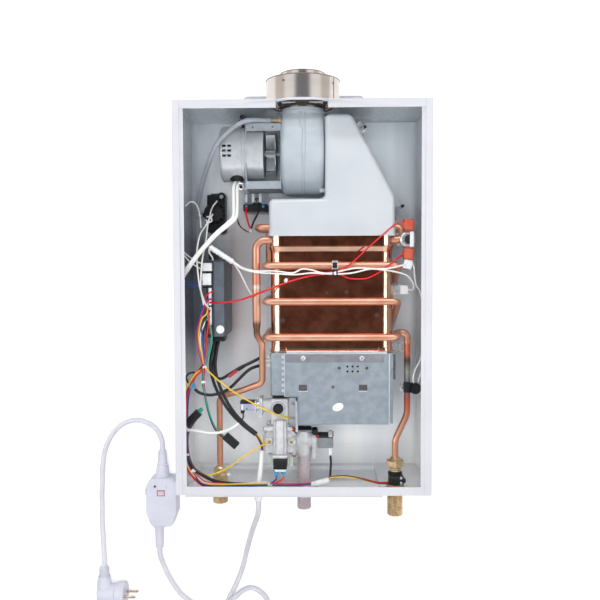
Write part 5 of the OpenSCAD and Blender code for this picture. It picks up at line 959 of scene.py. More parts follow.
def capacitor():
    """Motor capacitor: a potted block with a screw ear and two crimped leads."""
    x, y, z = (-84, -50), (119, 129), (31.8, 62)
    cap = Piece("motor_capacitor")
    cap.block(x, y, z, black_plastic, 1.6, segments=3)
    cap.block([x[0] + 1.6, x[1] - 1.6], [y[0] - 0.4, y[1] - 3], [z[1] - 1, z[1] + 0.4], black_plastic, 0.4)
    arc = [(-67 + 5 * math.cos(a), 135 + 5 * math.sin(a)) for a in (math.radians(i * 20) for i in range(10))]
    ear = [(-74.5, 128), (-59.5, 128), (-61.5, 134), *arc, (-72.5, 134)]
    cap.plate(ear, 31.8, 35.2, black_plastic, edge=0.6)
    cap.done("fan_capacitor", slot="black_plastic")
    joints = Piece("lead_joints")
    joints.turned("Y", (-73.3, 0, 62), "89.6 0.8, 90.4 1.9, 94.6 1.9, 95.4 1.1, 95.4 0", pink, 16)
    joints.tube(flowing("-73 90 62, -77.3 90.5 63, -83.7 94.2 70, -88.5 100.5 78, -90 110 86"), 0.9, pin_brass,
                8)
    joints.tube(flowing("-79 124.8 62.5, -79.6 117 67, -76.8 103 66, -73.8 95 62"), 1.3, WIRES["r"], 10)
    joints.tube(flowing("-61 124.3 62.5, -63.5 115 66.5, -69.6 103.5 66, -72.8 95 62"), 1.3, WIRES["k"], 10)
    joints.done(slot="dark_wire")


# ---------------------------------------------------------------- sensors on the water tubes

def heat_guards():
    """Overheat switch between two silicone boots, with its plug and the flow probe below it."""
    x, y, z = 136.6, 77, 114.6
    guard = Piece("overheat_switch")
    guard.plate([(y - 13, z - 8), (y + 13, z - 8), (y + 13, z + 8), (y - 13, z + 8)], x, x + 1.2, steel,
                axis="X", edge=0.3)
    guard.turned("X", (x, y, z), "1.2 9.2, 2.6 9.2, 3 8.4, 4.6 8.2, 5 7.2, 8 7, 8.4 6.2, 8.4 0", steel, 40)
    guard.turned("Z", (x + 0.8, y, z), "5 10.2, 7.4 10.4, 8.4 9.6, 9 8.2, 9.2 6.8, 8.6 6.2, 8.6 0", steel, 40)
    guard.turned("Z", (x + 2.4, y, z), "8 6, 11.6 6, 12.2 5.2, 12.2 0", black_plastic, 32)
    guard.block([x + 3, x + 8.4], [y - 10, y + 10], [z + 9.4, z + 12.4], nylon, 0.6)
    for low in (y + 11.5, y - 26.5):
        guard.block([x - 5, x + 8.6], [low, low + 15], [z + 1, z + 14], silicone, 2.2, -6, segments=4)
        guard.block([x - 7, x - 3], [low + 4, low + 11], [z + 4, z + 11], silicone, 1.5, -6, segments=3)
    guard.block([x - 5, x + 6.4], [y - 38.5, y - 27], [z + 2.4, z + 12], nylon, 0.8, -14)
    guard.block([x - 12, x - 1], [y - 8, y + 8], [z - 4, z - 2.6], steel, 0.4)
    guard.block([118.6, 130], [3.2, 17.8], [94.4, 105.6], steel, 0.8)
    guard.block([118.8, 127], [16, 19.6], [98, 107], strip_sheet, 0.8)
    guard.block([129, 140.2], [4.6, 16.4], [96, 105.2], nylon, 0.8)
    guard.block([130.5, 138.5], [6.4, 14.6], [105, 106.2], nylon, 0.5)
    guard.done("heat_sensors", slot="black_plastic")


def frost_switch():
    """Disc thermostat that a steel clip holds on the cold pipe."""
    x, y, z = 139.5, -120, 104
    guard = Piece("frost_switch")
    guard.turned("Y", (x, y, z), "-6 4.6, -6 5.8, 6 5.8, 6 4.6", steel, 24, joined=True)
    guard.block([x - 10, x - 4], [y - 5, y + 5], [z + 1, z + 2.4], steel, 0.5)
    guard.block([x - 5.5, x + 4], [y - 7, y + 7], [z + 4.6, z + 9.4], black_plastic, 1.0)
    tilt = Matrix.Translation((x + 8, y - 1, z + 2.4)) @ Matrix.Rotation(math.radians(14), 4, "Y")
    guard.turned("Z", (0, 0, 0), "0 7, 1 7.6, 9 7.6, 10.4 6.8, 10.8 5.4, 10.8 0", black_plastic, 36, place=tilt)
    guard.done("frost_stat", slot="black_plastic")


# ---------------------------------------------------------------- burner

def burner_front():
    """Front plate with folded edges, joint strip, two windows, a row of air holes and a bare sticker."""
    front, top, low, left, right, step_x, step_y = 130, -71.6, -165.3, -25, 113.5, -7, -128.3
    windows = [(-6, -122.3), (73, -122.3)]
    outline = [(step_x, low), (right, low), (right, top), (left, top), (left, step_y), (step_x, step_y)]
    holes = [[(x, y), (x + 11, y), (x + 11, y + 9), (x, y + 9)] for x, y in windows]
    holes += [oval(58 + i * 6.8, -89.3 - j * 6.5, 0, 1.5, 1.5, 14) for i in range(3) for j in range(2)]
    plate = Piece("burner_front")
    plate.plate(outline, front - 1.2, front, burner_sheet, holes)
    # A black sheet close behind the air holes: painted shade in them
    plate.block([55, 75], [-99, -86], [front - 2.4, front - 1.4], black_plastic, 0)
    plate.block([right - 1.8, right], [low, top], [front - 8, front + 3], zinc_satin, 0.5)
    plate.block([step_x - 0.4, right], [low - 0.6, low + 1], [front - 5, front + 0.5], burner_sheet, 0.4)
    plate.block([left + 3, right - 4], [top - 1.2, top + 1.6], [front - 3, front + 1.6], zinc_satin, 0.5)
    plate.block([step_x, step_x + 1.2], [low, step_y], [front - 5, front + 2.4], burner_sheet, 0.4)
    plate.block([left - 0.2, left + 1], [step_y, top], [front - 6, front + 2.6], zinc_satin, 0.4)
    for i in range(7):
        y = step_y + 5 + i * 7.4
        plate.block([left - 3.4, left + 0.6], [y, y + 4.4], [front - 5, front - 0.6], zinc_satin, 0.6)
    plate.block([left, step_x + 2], [step_y - 1.2, step_y + 0.4], [front - 6, front + 0.6], strip_sheet, 0.4)
    plate.block([left + 1.6, 105.5], [top - 12, top - 2], [front, front + 1.2], strip_sheet, 0.5)
    plate.block([left - 16, left - 5], [-123, -84], [92, 93.2], strip_sheet, 0.4)
    for x, y in windows:
        plate.block([x - 0.6, x + 11.6], [y - 0.4, y + 1.2], [front - 1, front + 0.7], zinc_satin, 0.3)
        plate.plate([(x - 1, y - 1), (x + 12, y - 1), (x + 12, y + 10), (x - 1, y + 10)], front - 3.2,
                    front - 2.2, window_steel)
    tilt = Matrix.Translation((45.5, -142.8, 0)) @ Matrix.Rotation(math.radians(22), 4, "Z")
    wide, high, sides = 7.4, 5.0, 36
    plate.loft([oval(0, 0, front + up, wide, high, sides) for up in (0.02, 0.35)], sticker, place=tilt)
    printed = rows("0.66 0.3, 0.66 0.48, 0.6 0.48, 0.6 0.3")
    plate.loft([oval(0, 0, front + up, wide * share, high * share, sides) for share, up in printed],
               grey_print_and_shade, joined=True, place=tilt)
    plate.done("burner_plate", slot="zinc_sheet")


def burner_case():
    """Folded box round the burners, with the brackets that hold it to the back."""
    left, right, low, top, step_x, step_y, z = -43, 118, -165.3, -71.3, -7, -128.3, (28, 128.5)
    box = Piece("burner_case")
    wall = 1.2
    for x, y, depth in (([left, left + wall], [step_y, top], z), ([right - wall, right], [low, top], z),
                        ([left, step_x + wall], [step_y, step_y + wall], z),
                        ([step_x, step_x + wall], [low, step_y + 1], z),
                        ([step_x, right], [low, low + wall], [28, 45]),
                        ([step_x, right], [low, low + wall], [99, 128.5])):
        box.block(x, y, depth, burner_sheet, 0.3)
    box.plate([(left, top), (right, top), (right, low), (step_x, low), (step_x, step_y), (left, step_y)], 28,
              29.2, burner_sheet)
    box.block([left, left + 20], [step_y, top], [127.3, 128.5], burner_sheet, 0.3)
    for x, way in ((left, -1), (right, 1)):
        box.block(sorted((x, x + way * 7)), [-121.3, -91.3], [1.3, 2.5], burner_sheet, 0.3)
        box.block([x - 0.6, x + 0.6], [-121.3, -91.3], [1.3, 40], burner_sheet, 0.3)
    box.block([113, right], [low, top], [126.4, 127.6], burner_sheet, 0.3)
    box.block([118.4, 128.5], [-117.5, -82], [58, 59.4], strip_sheet, 0.4)
    box.done("burner_box", slot="zinc_sheet")


def sparkers():
    """Glazed spark rods with their white boots on the left side of the burner."""
    rods = Piece("spark_rods")
    for y in (-80.3, -91.3):
        rods.turned("X", (0, y, 98), "-56 2.4, -55 3, -50 3, -49 4.4, -44 4.4, -43.4 3, -31 3, -30 1, -9 1, "
                    "-9 0", ceramic, 24)
    rods.turned("X", (0, -84.5, 104), "-54 2.2, -43 2.2, -42 1.4, -42 0", nylon, 20)
    rods.block([-44, -36], [-96, -78], [96, 108], nylon, 1.6)
    rods.done("electrodes", slot="ceramic")


# ---------------------------------------------------------------- gas valve

def gas_valve():
    """Die-cast valve: inlet block, upright column with a round rib, regulator wings and manifold."""
    x0, top, column_low = VALVE_X, -135.3, -212.3
    ring, adjuster, tap = (-34, top - 13, 0), (0, -176.3, 110), (-13.4, 0, 104)
    valve = Piece("valve_casting")
    valve.block([-44, -20.5], [top - 36, top], [70, 111], casting, 1.8, segments=3)
    valve.turned("X", (0, top - 11, 99), "-56 8.2, -55.4 9, -48 9.4, -40 9.4", casting, 36)
    valve.block([-58, -55.6], [top - 24, top + 1], [86, 112], zinc, 0.5)
    valve.block([-42, -22], [top - 1, top + 2.6], [84, 108], black_rubber, 0.8)
    valve.turned("Z", ring, "110 9.4, 112.4 9.4, 113.6 8.6, 113.6 7.2, 112.8 7", casting, 40)
    valve.turned("Z", ring, "111 6.9, 115.4 6.9, 116.4 6.2, 116.6 5, 116.6 0", black_rubber, 40)
    valve.block([x0 - 9, x0 + 9], [column_low + 3, top - 28], [92, 122], casting, 2.2, segments=3)
    valve.block([x0 - 6, x0 + 6], [column_low + 4, top - 26], [118, 129], casting, 3.6, segments=5)
    valve.block([x0 - 10, x0 + 10], [column_low, column_low + 4.4], [88, 128], casting, 1.2)
    belly = rows("-1 -169.3, 1 -169.3, 1.35 -178, 1.7 -188, 1.78 -200, 1.72 -209.3, -1.86 -209.3, "
                 "-1.9 -200, -1.82 -188, -1.4 -178")
    widths = rows("74 12, 76 13, 102 13, 106 10.5")
    valve.loft([[Vector((x0 + px * half, py, z)) for px, py in belly] for z, half in widths], casting)
    for side in (-1, 1):
        rib = [(x0 + side * 8, -170), (x0 + side * 20, -183), (x0 + side * 18.4, -185), (x0 + side * 7, -174)]
        valve.plate(rib if side > 0 else rib[::-1], 100, 110, casting, edge=0.5)
        valve.turned("Z", (x0 + side * 15.5, GAS_Y, 0), "80 6.2, 107 6.2, 108.4 5.2, 108.4 0", casting, 28)
        valve.turned("Z", (x0 + side * 17.2, -208.3, 0), "80 4.4, 101 4.4, 102.2 3.4, 102.2 0", casting, 24)
    valve.turned("X", adjuster, "-53.5 0, -53.5 3.2, -52.8 3.6, -46 3.6, -45.4 4.2, -38 4.2", casting, 28)
    valve.turned("X", adjuster, "-54.6 0, -54.6 2.4, -53.2 2.8, -53.2 0", red_seal, 24)
    valve.turned("X", adjuster, "-24 3.4, -16.4 3.4, -15 2.6, -15 0", casting, 24)
    valve.turned("X", adjuster, "-16 2.7, -12.4 2.7, -11.8 1.8, -11.8 0", red_seal, 20)
    valve.turned("Z", (-46, -170, 0), "104 4.6, 106.6 4.6, 106.6 3, 104 3", steel, 20, joined=True)
    valve.turned("Y", tap, "-213.5 0, -213.5 2.2, -212.4 2.6, -196 2.6, -194 3.6, -188 3.6", casting, 20)
    valve.turned("Y", tap, "-215.4 0, -215.4 2.4, -213.3 2.9, -213.3 0", red_seal, 20)
    valve.block([-21, -8.8], [top - 42, top], [102, 103.6], zinc_satin, 0.5)
    valve.block([-10.4, -9], [top - 42, top], [102, 126.5], zinc_satin, 0.5)
    valve.block([-10.4, -7.2], [top - 42, top], [124.6, 126.4], zinc_satin, 0.5)
    valve.done("gas_valve", slot="cast_aluminium")


def main_coil():
    """Taped solenoid under the column with two blue crimped terminals and pale pads beside it."""
    x0, y1, z = VALVE_X, -212.5, (95, 130)
    coil = Piece("main_coil")
    coil.block([x0 - 8.6, x0 + 9], [y1 - 14.4, y1 - 0.2], z, black_plastic, 2.4, segments=3)
    for i in range(6):
        y = y1 - 2.4 - i * 2.1
        coil.block([x0 - 8.9, x0 + 9.3], [y - 0.6, y + 0.2], [z[0] - 0.2, z[1] + 0.3], black_plastic, 0.4)
    coil.block([x0 - 7, x0 + 8], [y1 - 18, y1 - 14.2], [103, 126], nylon, 0.8)
    for x in (x0 - 5, x0 + 4):
        coil.turned("Y", (x, y1, 121), "-23.8 0, -23.8 1.7, -22.6 2.6, -18.6 2.9, -17.8 2.4, -17.8 0",
                    blue_crimp, 20)
    for x in (x0 - 13, x0 + 14):
        coil.block([x - 3, x + 3], [y1 - 17, y1 - 0.5], [94, 100], pale_gasket, 0.6)
    coil.done("valve_coil", slot="black_plastic")


def solenoids():
    """The lavender coil on the left and the grey one on the right of the valve."""
    y, z = -146.3, 99
    pair = Piece("side_coils")
    pair.block([-86, -64], [y - 6, y + 3.4], [z - 10, z + 8], lilac_zinc, 1.2, segments=3)
    pair.block([-84, -81.5], [y - 5, y + 2.6], [z + 7.4, z + 8.8], nylon, 0.5)
    pair.block([-78, -75], [y - 4.6, y - 2.2], [z + 7.8, z + 8.5], green_mark, 0.2)
    pair.turned("X", (0, y, z), "-64.2 7.2, -60 7.2, -59 8, -56.4 8, -56.4 0", steel, 32)
    pair.block([-60, -57.6], [y - 14, y + 12], [z - 9, z + 10], zinc, 0.6)
    pair.block([-66, -64], [y - 9, y + 7], [z - 9, z + 9], zinc, 0.6)
    pair.block([-86, -63.4], [y + 3.2, y + 6.8], [z - 8, z + 8.4], black_plastic, 1.0)
    pair.block([-85, -80], [y - 9.4, y - 5.4], [z, z + 10], black_plastic, 0.8)
    ye, ze = GAS_Y, GAS[2]
    pair.block([18.4, 40], [ye - 10, ye + 4], [ze - 10, ze + 7.6], dull_grey, 1.0, segments=3)
    pair.block([33, 34.8], [ye - 5, ye - 3.2], [ze + 7.4, ze + 7.9], green_mark, 0.2)
    pair.block([18.6, 36.5], [ye + 4, ye + 9], [ze - 8, ze + 6.4], black_plastic, 0.8)
    pair.turned("X", (0, ye + 8, ze + 1), "34 2.4, 35.4 5.2, 38 5.2, 38.8 4, 40.4 4, 40.4 0", black_plastic, 28)
    pair.block([33.5, 38.8], [ye + 5, ye + 14], [ze + 3, ze + 9], steel, 0.8)
    pair.block([15.8, 18.2], [ye - 17, ye + 9], [ze - 9, ze + 9], steel, 0.6)
    pair.block([33, 38.4], [ye - 19, ye - 10.4], [ze - 6, ze + 3], nylon, 0.8)
    pair.block([34, 37.4], [ye - 23, ye - 18.6], [ze - 5, ze + 1.4], nylon, 0.5)
    pair.done("side_solenoids", slot="steel")


def elbow():
    """Cast elbow: a smooth bulb that turns down into the gas pipe, with its rubber joint above."""
    y, z = GAS_Y, GAS[2]
    bend = Piece("gas_elbow_casting")
    bend.turned("X", (0, y, z), "-10.3 9.6, -8 11, -2 11.6, 8 11.6, 12 10.6, 15 9.4, 18 9.2, 18 0", casting, 44)
    bend.turned("Y", (0, y, z), "-22 9.4, -21 10.2, -16 10.4, -8 11, 4 11.2, 10 10.4, 13 9.4, 13 0", casting,
                44)
    bend.block([11, 17.2], [y - 24, y + 9], [z - 8, z + 12.6], casting, 2.0, segments=3)
    bend.block([-12, 12.5], [y + 12.6, y + 15.4], [z - 11, z + 11], strip_sheet, 0.6)
    bend.block([-9, 10], [y + 15.2, y + 17.2], [z - 9, z + 9], black_rubber, 0.6)
    bend.turned("Z", (15.2, y + 13, z), "-2 4.2, 12 4.2, 13.6 3.6, 14 2.4, 14 0", black_rubber, 28)
    bend.turned("Z", (18.5, y + 7.5, z), "8 2, 14 2, 14.6 1.2, 14.6 0", red_seal, 16)
    bend.done("gas_elbow", slot="cast_aluminium")


def thread(low, high, radius, pitch=1.8, depth=0.8):
    """A turned profile of screw thread between two heights."""
    steps = int((high - low) / pitch)
    profile = [(low, radius - depth * 1.6)]
    for i in range(steps):
        profile += [(low + (i + 0.25) * pitch, radius - depth), (low + (i + 0.75) * pitch, radius)]
    return profile + [(high, radius - depth)]


def hex_rows(low, high, radius):
    """A nut's profile with both its corners turned off."""
    return [(low, radius - 1.4), (low + 0.9, radius), (high - 0.9, radius), (high, radius - 1.4)]


def pipe_ends():
    """Threaded unions below the case with their nuts, the gas pipe and the nuts on the copper pipes."""
    low = BOTTOM - 6
    hot = Piece("hot_union")
    hot.turned("Y", HOT, [(-281, 6.5)] + thread(-281, low - 3.5, 10.47) + [(low - 0.4, 10.2), (-242, 10.2),
               (-242, 6.5)], brass, 48, joined=True)
    hot.turned("Y", HOT, hex_rows(-257.6, -252.4, 13.2), brass, 6)
    hot.turned("Y", HOT, hex_rows(-243.2, -233.4, 9.6), brass, 6)
    hot.turned("Y", HOT, "-233.6 7.4, -231.4 6.6, -230 4.6, -230 4.25, -234 4.25", brass, 40, joined=True)
    hot.block([-106, -100], [-245, -240], [92, 99], ceramic, 1.4)
    hot.done("outlet_port", slot="brass")
    gas = Piece("gas_union")
    gas.turned("Y", GAS, [(-289, 6.5)] + thread(-289, low - 3.5, 9.5)
               + [(low - 0.4, 9.2), (-257, 9.2), (-257, 8.9), (-198.6, 8.9), (-198.6, 6.5)], zinc_pink, 48,
               joined=True)
    gas.turned("Y", GAS, hex_rows(-257.6, -252.4, 12.4), zinc_satin, 6)
    gas.done("gas_pipe", slot="steel")
    cold = Piece("cold_union")
    cold.turned("Y", COLD, [(-292, 6.5)] + thread(-292, BOTTOM - 6, 10.47) + [(BOTTOM - 5.8, 9.6),
                (-249.4, 9.6), (-249.4, 6.5)], brass, 48, joined=True)
    cold.turned("Y", COLD, hex_rows(BOTTOM - 5.4, BOTTOM - 0.2, 13.6), brass, 6)
    cold.turned("Y", COLD, "-251.4 12.3, -249.4 12.3, -249.4 0", brass, 40)
    cold.turned("Y", COLD, "-232.7 7.2, -231.9 8, -230.6 7.4, -229.2 8, -228 7.4, -226.4 8, -226 7, -226 0",
                brass, 40)
    cold.turned("Y", COLD, hex_rows(-226, -217, 12.6), brass, 6)
    cold.turned("Y", COLD, "-217.4 10, -216.4 8.2, -214.6 6.4, -213.4 4.8, -213.4 4.35, -218 4.35", brass, 40,
                joined=True)
    cold.done("inlet_port", slot="brass")
    sensor = Piece("flow_switch")
    sensor.turned("Y", COLD, "-249 8.4, -248.4 9.5, -246 9.5, -245.4 9, -237 9, -236.4 9.5, -233.6 9.5, "
                  "-233 8.6, -233 0", black_plastic, 44)
    sensor.block([113, 132.5], [-247, -236], [112, 128.4], black_plastic, 1.2, segments=3)
    sensor.block([115.5, 127], [-245.6, -238], [128, 129.6], black_plastic, 0.6)
    sensor.block([131, 135.4], [-245, -240], [118, 127], black_plastic, 0.8)
    sensor.done("flow_sensor", slot="black_plastic")


# ---------------------------------------------------------------- controls

def controller():
    """Slate control box with its black igniter block, connector rows and a bare round sticker."""
    x, y = (-133, -109), (-55, 52)
    box = Piece("control_unit")
    box.block([x[0], x[1]], y, [1.3, 91], slate_dark, 1.2)
    box.block([x[0] + 10.5, x[1] + 2], [y[0] + 2, y[1] - 3], [7, 97], slate, 1.4, segments=3)
    box.block([x[0] + 10.5, x[0] + 12.2], [y[0] + 3, y[1] - 4], [96, 98.2], slate_dark, 0.5)
    box.block([x[0] + 3, x[0] + 14], [y[1] - 1, y[1] + 10], [40, 84], black_plastic, 1.4)
    box.block([x[0] + 7, x[1] + 1], [y[0] - 5, y[0] + 2.6], [60, 93], black_plastic, 1.2)
    box.loft([oval(-113, -43, z, r, r * 1.02) for z, r in ((96.9, 5.4), (97.35, 5.4), (97.35, 0.01))], sticker)
    box.loft([oval(-113, -43, z, r, r) for z, r in rows("97.2 4, 97.5 4, 97.5 3.6, 97.2 3.6")], grey_print_and_shade,
             joined=True)
    box.done("control_box", slot="grey_plastic")
    x0, z0, h = x[0], 95.3, 107
    plugs = Piece("control_connectors")
    for low, high, right, tall in rows("0.853 0.955 10 8, 0.677 0.825 9 8, 0.17 0.4 9 6, 0.42 0.64 9 6"):
        a, b = y[0] + h * low, y[0] + h * high
        left = x0 - 3 if tall == 8 else x0 + 5
        plugs.block([left, x0 + right], [a, b], [z0, z0 + tall], nylon, 0.8)
        count = max(2, int((b - a) / 2.6))
        for i in range(count):
            s = a + (i + 0.5) * (b - a) / count
            plugs.block([left - 0.5, left + 1.4], [s - 0.7, s + 0.7], [z0 + 1.4, z0 + tall - 1.6], grey_print_and_shade,
                        0.2)
    plugs.block([x0 + 4, x0 + 9], [y[0] + h * 0.055, y[0] + h * 0.165], [z0, z0 + 6], red_seal, 0.8)
    plugs.block([x0 - 3, x0 + 4], [y[0] + h * 0.64, y[0] + h * 0.66], [z0, z0 + 3], black_plastic, 0.4)
    plugs.done("control_plugs", slot="white_plastic")


# ---------------------------------------------------------------- breaker, plug and cords

def breaker():
    """Moulded shell in two halves with drawn-out grips for the cord and two lamps by the reset key."""
    x, y = -211.5, -303
    shell = Piece("breaker_shell")
    outline = rows("-228 -270.5, -224 -267.6, -198 -267.6, -191 -269.6, -188.4 -275, -188.4 -320, "
                   "-196.3 -341.4, -226.6 -341.4, -234.4 -322, -234 -280")
    well = [(x - 4.9, -293.4), (x + 4.9, -293.4), (x + 4.9, -286.6), (x - 4.9, -286.6)]
    for low, high, edge, holes in ((0.6, 14.2, 3.0, ()), (14.8, 29, 4.5, [well])):
        shell.plate(outline[::-1], low, high, breaker_abs, holes, edge=edge)
    shell.plate([(x + (px - x) * 0.97, y + (py - y) * 0.97) for px, py in outline[::-1]], 12, 17, breaker_abs)
    for dx, dy, w, h in rows("0 3.95 12 1.1, 0 -3.95 12 1.1, -5.45 0 1.1 9, 5.45 0 1.1 9"):
        shell.block([x + dx - w / 2, x + dx + w / 2], [-290 + dy - h / 2, -290 + dy + h / 2], [28.6, 29.5],
                    rose_rim, 0.2)
    shell.turned("Y", (x, 0, 14), "-269 11.4, -264 10, -254 8.8, -251 8.6, -250 7.2, -241 6.9, -240 6.4, "
                 "-231 6, -229.6 4.9, -229.6 0", breaker_abs, 40)
    shell.turned("Y", (-217.5, 0, 14), "-377 0, -377 4.6, -375.6 5.9, -352 6.3, -347 6.6, -345.6 8.4, "
                 "-341 9.2, -340 9.2", breaker_abs, 40)
    for spot, skin in ((x - 8.7, red_lens), (x + 8, lilac)):
        shell.turned("Z", (spot, -280, 0), "29 1.8, 29.9 1.8, 30.4 1.1, 30.5 0", skin, 20)
    return shell.done("breaker_body", slot="cord_fittings")


def plug():
    """Angled plug: a round face with two pins and a ribbed grip drawn out towards the cord."""
    x, y, z, face, grip_end = -300, -446, 19, -268, -404
    body = Piece("plug_body")
    body.turned("X", (0, y, z), [(x - 9, 0), (x - 9, 10), (x - 8, 13.4), (x - 5, 15.2), (face - 15, 16.4),
                (face - 13, 18.4), (face - 1.2, 19), (face, 18), (face, 0)], breaker_abs, 56)
    grip = [(y, 11.8), (y + 20, 10.4), (y + 28, 8.6)]
    for i in range(6):
        s = grip_end - 18 + i * 2.9
        grip += [(s, 5.6), (s + 0.2, 7.5 - i * 0.1), (s + 1.6, 7.5 - i * 0.1), (s + 1.8, 5.6)]
        if i:
            # Grey rings in the grooves between the ribs: painted shade
            body.turned("Y", (x, s, z), "-1.3 5.2, -1.2 7, 0.1 7, 0.2 5.2", grey_print_and_shade, 40, joined=True)
    body.turned("Y", (x, 0, z), grip + [(grip_end - 0.6, 6.4), (grip_end, 5.4), (grip_end, 0)], breaker_abs, 40)
    for side in (-9.5, 9.5):
        body.turned("X", (face, y, z + side), "-2 0, -2 2, 15.4 2, 16.6 1.4, 17 0", pin_brass, 24)
    return body.done("mains_plug", slot="cord_fittings")


def cords():
    """The cord from the case to the breaker, by way of the coil, and the cord from there to the plug."""
    keys = [bpy.data.objects[n] for n in ("reset_button", "test_button")]
    lay_cord("cord_to_breaker", to_coil + coil_points() + to_breaker, ["mains_cord", "cord_coil"],
             [breaker()] + keys)
    lay_cord("cord_to_plug", to_plug, ["plug_cord"], [plug()])


# ---------------------------------------------------------------- panel, gland, clips, collar, screws

def slotted_panel():
    """The top panel as packed, with the slot under the collar through which the fan's neck is slid in."""
    blank = bmesh.new()
    blank.from_mesh(bpy.data.objects["top_panel"].data)
    bmesh.ops.remove_doubles(blank, verts=blank.verts, dist=0.01 * MM)
    slot = bmesh.new()
    bmesh.ops.create_cube(slot, size=1)
    size, middle = (65, 6, 33), (0, TOP + 1.2, 136.5)
    bmesh.ops.scale(slot, vec=[c * MM for c in size], verts=slot.verts)
    bmesh.ops.translate(slot, vec=[c * MM for c in middle], verts=slot.verts)
    both = []
    for name, shape in (("panel_blank", blank), ("panel_slot", slot)):
        mesh = bpy.data.meshes.new(name)
        shape.to_mesh(mesh)
        shape.free()
        both.append(put(name, mesh))
    step = both[0].modifiers.new("slot", "BOOLEAN")
    step.operation, step.solver, step.object = "DIFFERENCE", "EXACT", both[1]
    ready = both[0].evaluated_get(bpy.context.evaluated_depsgraph_get())
    part = bmesh.new()
    part.from_mesh(bpy.data.meshes.new_from_object(ready))
    part.transform(Matrix.Scale(1 / MM, 4))
    for holder in both:
        bpy.data.objects.remove(holder)
    panel = Piece("slotted_panel")
    panel.take(part, case_paint)
    for side in (-1, 1):
        panel.block(sorted((side * 27, side * 34)), [252.7, 256.9], [96, 120.5], black_rubber, 0.8)
    panel.done("top_panel", slot="case_paint", sharp=30)


def gland():
    """The cord's nylon gland: a cap drawn in round the cord and a six-sided nut."""
    grip = Piece("gland_nut")
    grip.turned("Y", (-61, 0, 118), "-272 0, -272 4.2, -270 5.4, -262 6.6, -259.4 7, -259 8.6, -254.4 8.6, "
                "-254 6.4, -253.2 6.4", nylon, 32)
    grip.turned("Y", (-61, 0, 118), hex_rows(-252, -249.4, 8.6), nylon, 6)
    grip.done("cord_gland", slot="cord_fittings")


def tube_clip():
    """The clip that holds the red wires on the middle of the wound tube."""
    clip = Piece("tube_clip")
    clip.block([38, 45.6], [37, 49.6], [133.6, 136], steel, 0.6)
    clip.block([38.6, 45], [40, 47], [135.4, 136.8], black_plastic, 0.4)
    clip.block([38.2, 45.4], [31.6, 38.6], [134.6, 136.2], black_plastic, 0.5)
    for x in (38.2, 43.2):
        clip.block([x, x + 2.2], [30.4, 38], [136, 140.6], black_plastic, 0.6)
    clip.block([40.6, 43], [31.4, 33], [135.8, 136.9], steel, 0.3)
    clip.done("wire_clip", slot="steel")


def hood_hooks():
    """Folded hooks with a dark pad at the ends of the hood's two clips."""
    hooks = Piece("hood_hooks")
    for x, y, z, turn in ((79, 231, 76, -58), (132.6, 125.4, 58, -60)):
        hooks.block([x - 8, x + 8], [y - 4, y + 4], [z, z + 2], zinc_satin, 0.6, turn)
        hooks.block([x - 8.5, x - 4], [y - 4.5, y + 4.5], [z - 6, z + 6], zinc_satin, 0.8, turn)
        hooks.block([x + 3, x + 7], [y - 2.4, y + 2.4], [z + 1.6, z + 5], black_plastic, 0.6, turn)
    hooks.done(slot="steel")


def air_ring():
    """The air collar, rolled from one strip and welded to its flange."""
    ring = Piece("air_ring")
    ring.turned("Y", FLUE, "259 41, 259 51, 259.8 51, 259.8 50, 292 50, 292 49.2, 259.8 49.2, 259.8 41",
                stainless, 128, joined=True)
    ring.done("air_collar", slot="stainless")


def collar_marks():
    """The flue's brown rolled rims, the collar's enamelled foot, its weld, and two dark discs that stand for
    its two small holes as painted shade.
    """
    marks = Piece("collar_marks")
    marks.turned("Y", FLUE, "291 50.02, 291.2 50.5, 292 50.4, 292.2 49.2", lip_brown, 96, joined=True)
    marks.turned("Y", FLUE, "257.3 51.1, 257.3 52.6, 260.2 52.6, 260.8 50.2", foot_enamel, 96, joined=True)
    marks.turned("Y", FLUE, "301.2 29.6, 301.3 30.5, 302 30.4, 302 29.5", lip_brown, 80, joined=True)
    marks.tube("41.2 261 108.4, 41.2 290 108.4", 0.6, lip_brown, 8)
    # Dark discs where the collar has two small holes: painted shade
    for x, y in ((-24.5, 284), (40.6, 283)):
        z = FLUE[2] + math.sqrt(50.1 ** 2 - x ** 2)
        aim = Vector((x, 0, z - FLUE[2])).to_track_quat("Z", "Y").to_matrix().to_4x4()
        marks.turned("Z", (0, 0, 0), "-0.6 1.7, 0.15 1.7, 0.15 0", window_steel, 16,
                     place=Matrix.Translation((x, y, z)) @ aim)
    marks.done(slot="steel")


# Each screw has its place, head radius, finish (0 steel, 1 brass, 2 blue, 3 brown) and, unless it faces
# forwards, its direction.
SCREWS = rows("""
0 -78.3 131.2 3.5 0, 77 -78.3 131.2 3.5 0, 47 -91.3 130 2 3, 83.5 -91.3 130 2 3, 39 -116.3 130 2 3,
124.5 -102 59.6 2.3 3, -47 -194.3 108.4 3 1, -16 -194.3 108.4 3 1, -14.7 -143.4 103.6 2.9 0,
-14.7 -162.8 103.6 2.9 0, 129 -238 128.4 1.9 0, 129 -244.6 128.4 1.9 0, -67 135 35.2 3.2 0,
-79.5 126 62.4 1.8 2, -56 126 62.4 1.8 2, -119 143 26.2 3 0, -119 96 26.2 3 3,
80.5 230 82 3.2 0 0.6 0.4 0.7, 132.5 122.5 62 3.2 0 0.6 0.3 0.7, 14 -203 107.6 1.8 0, 14 -188 107.6 1.8 0,
-62.4 -137 104 1.6 0""")


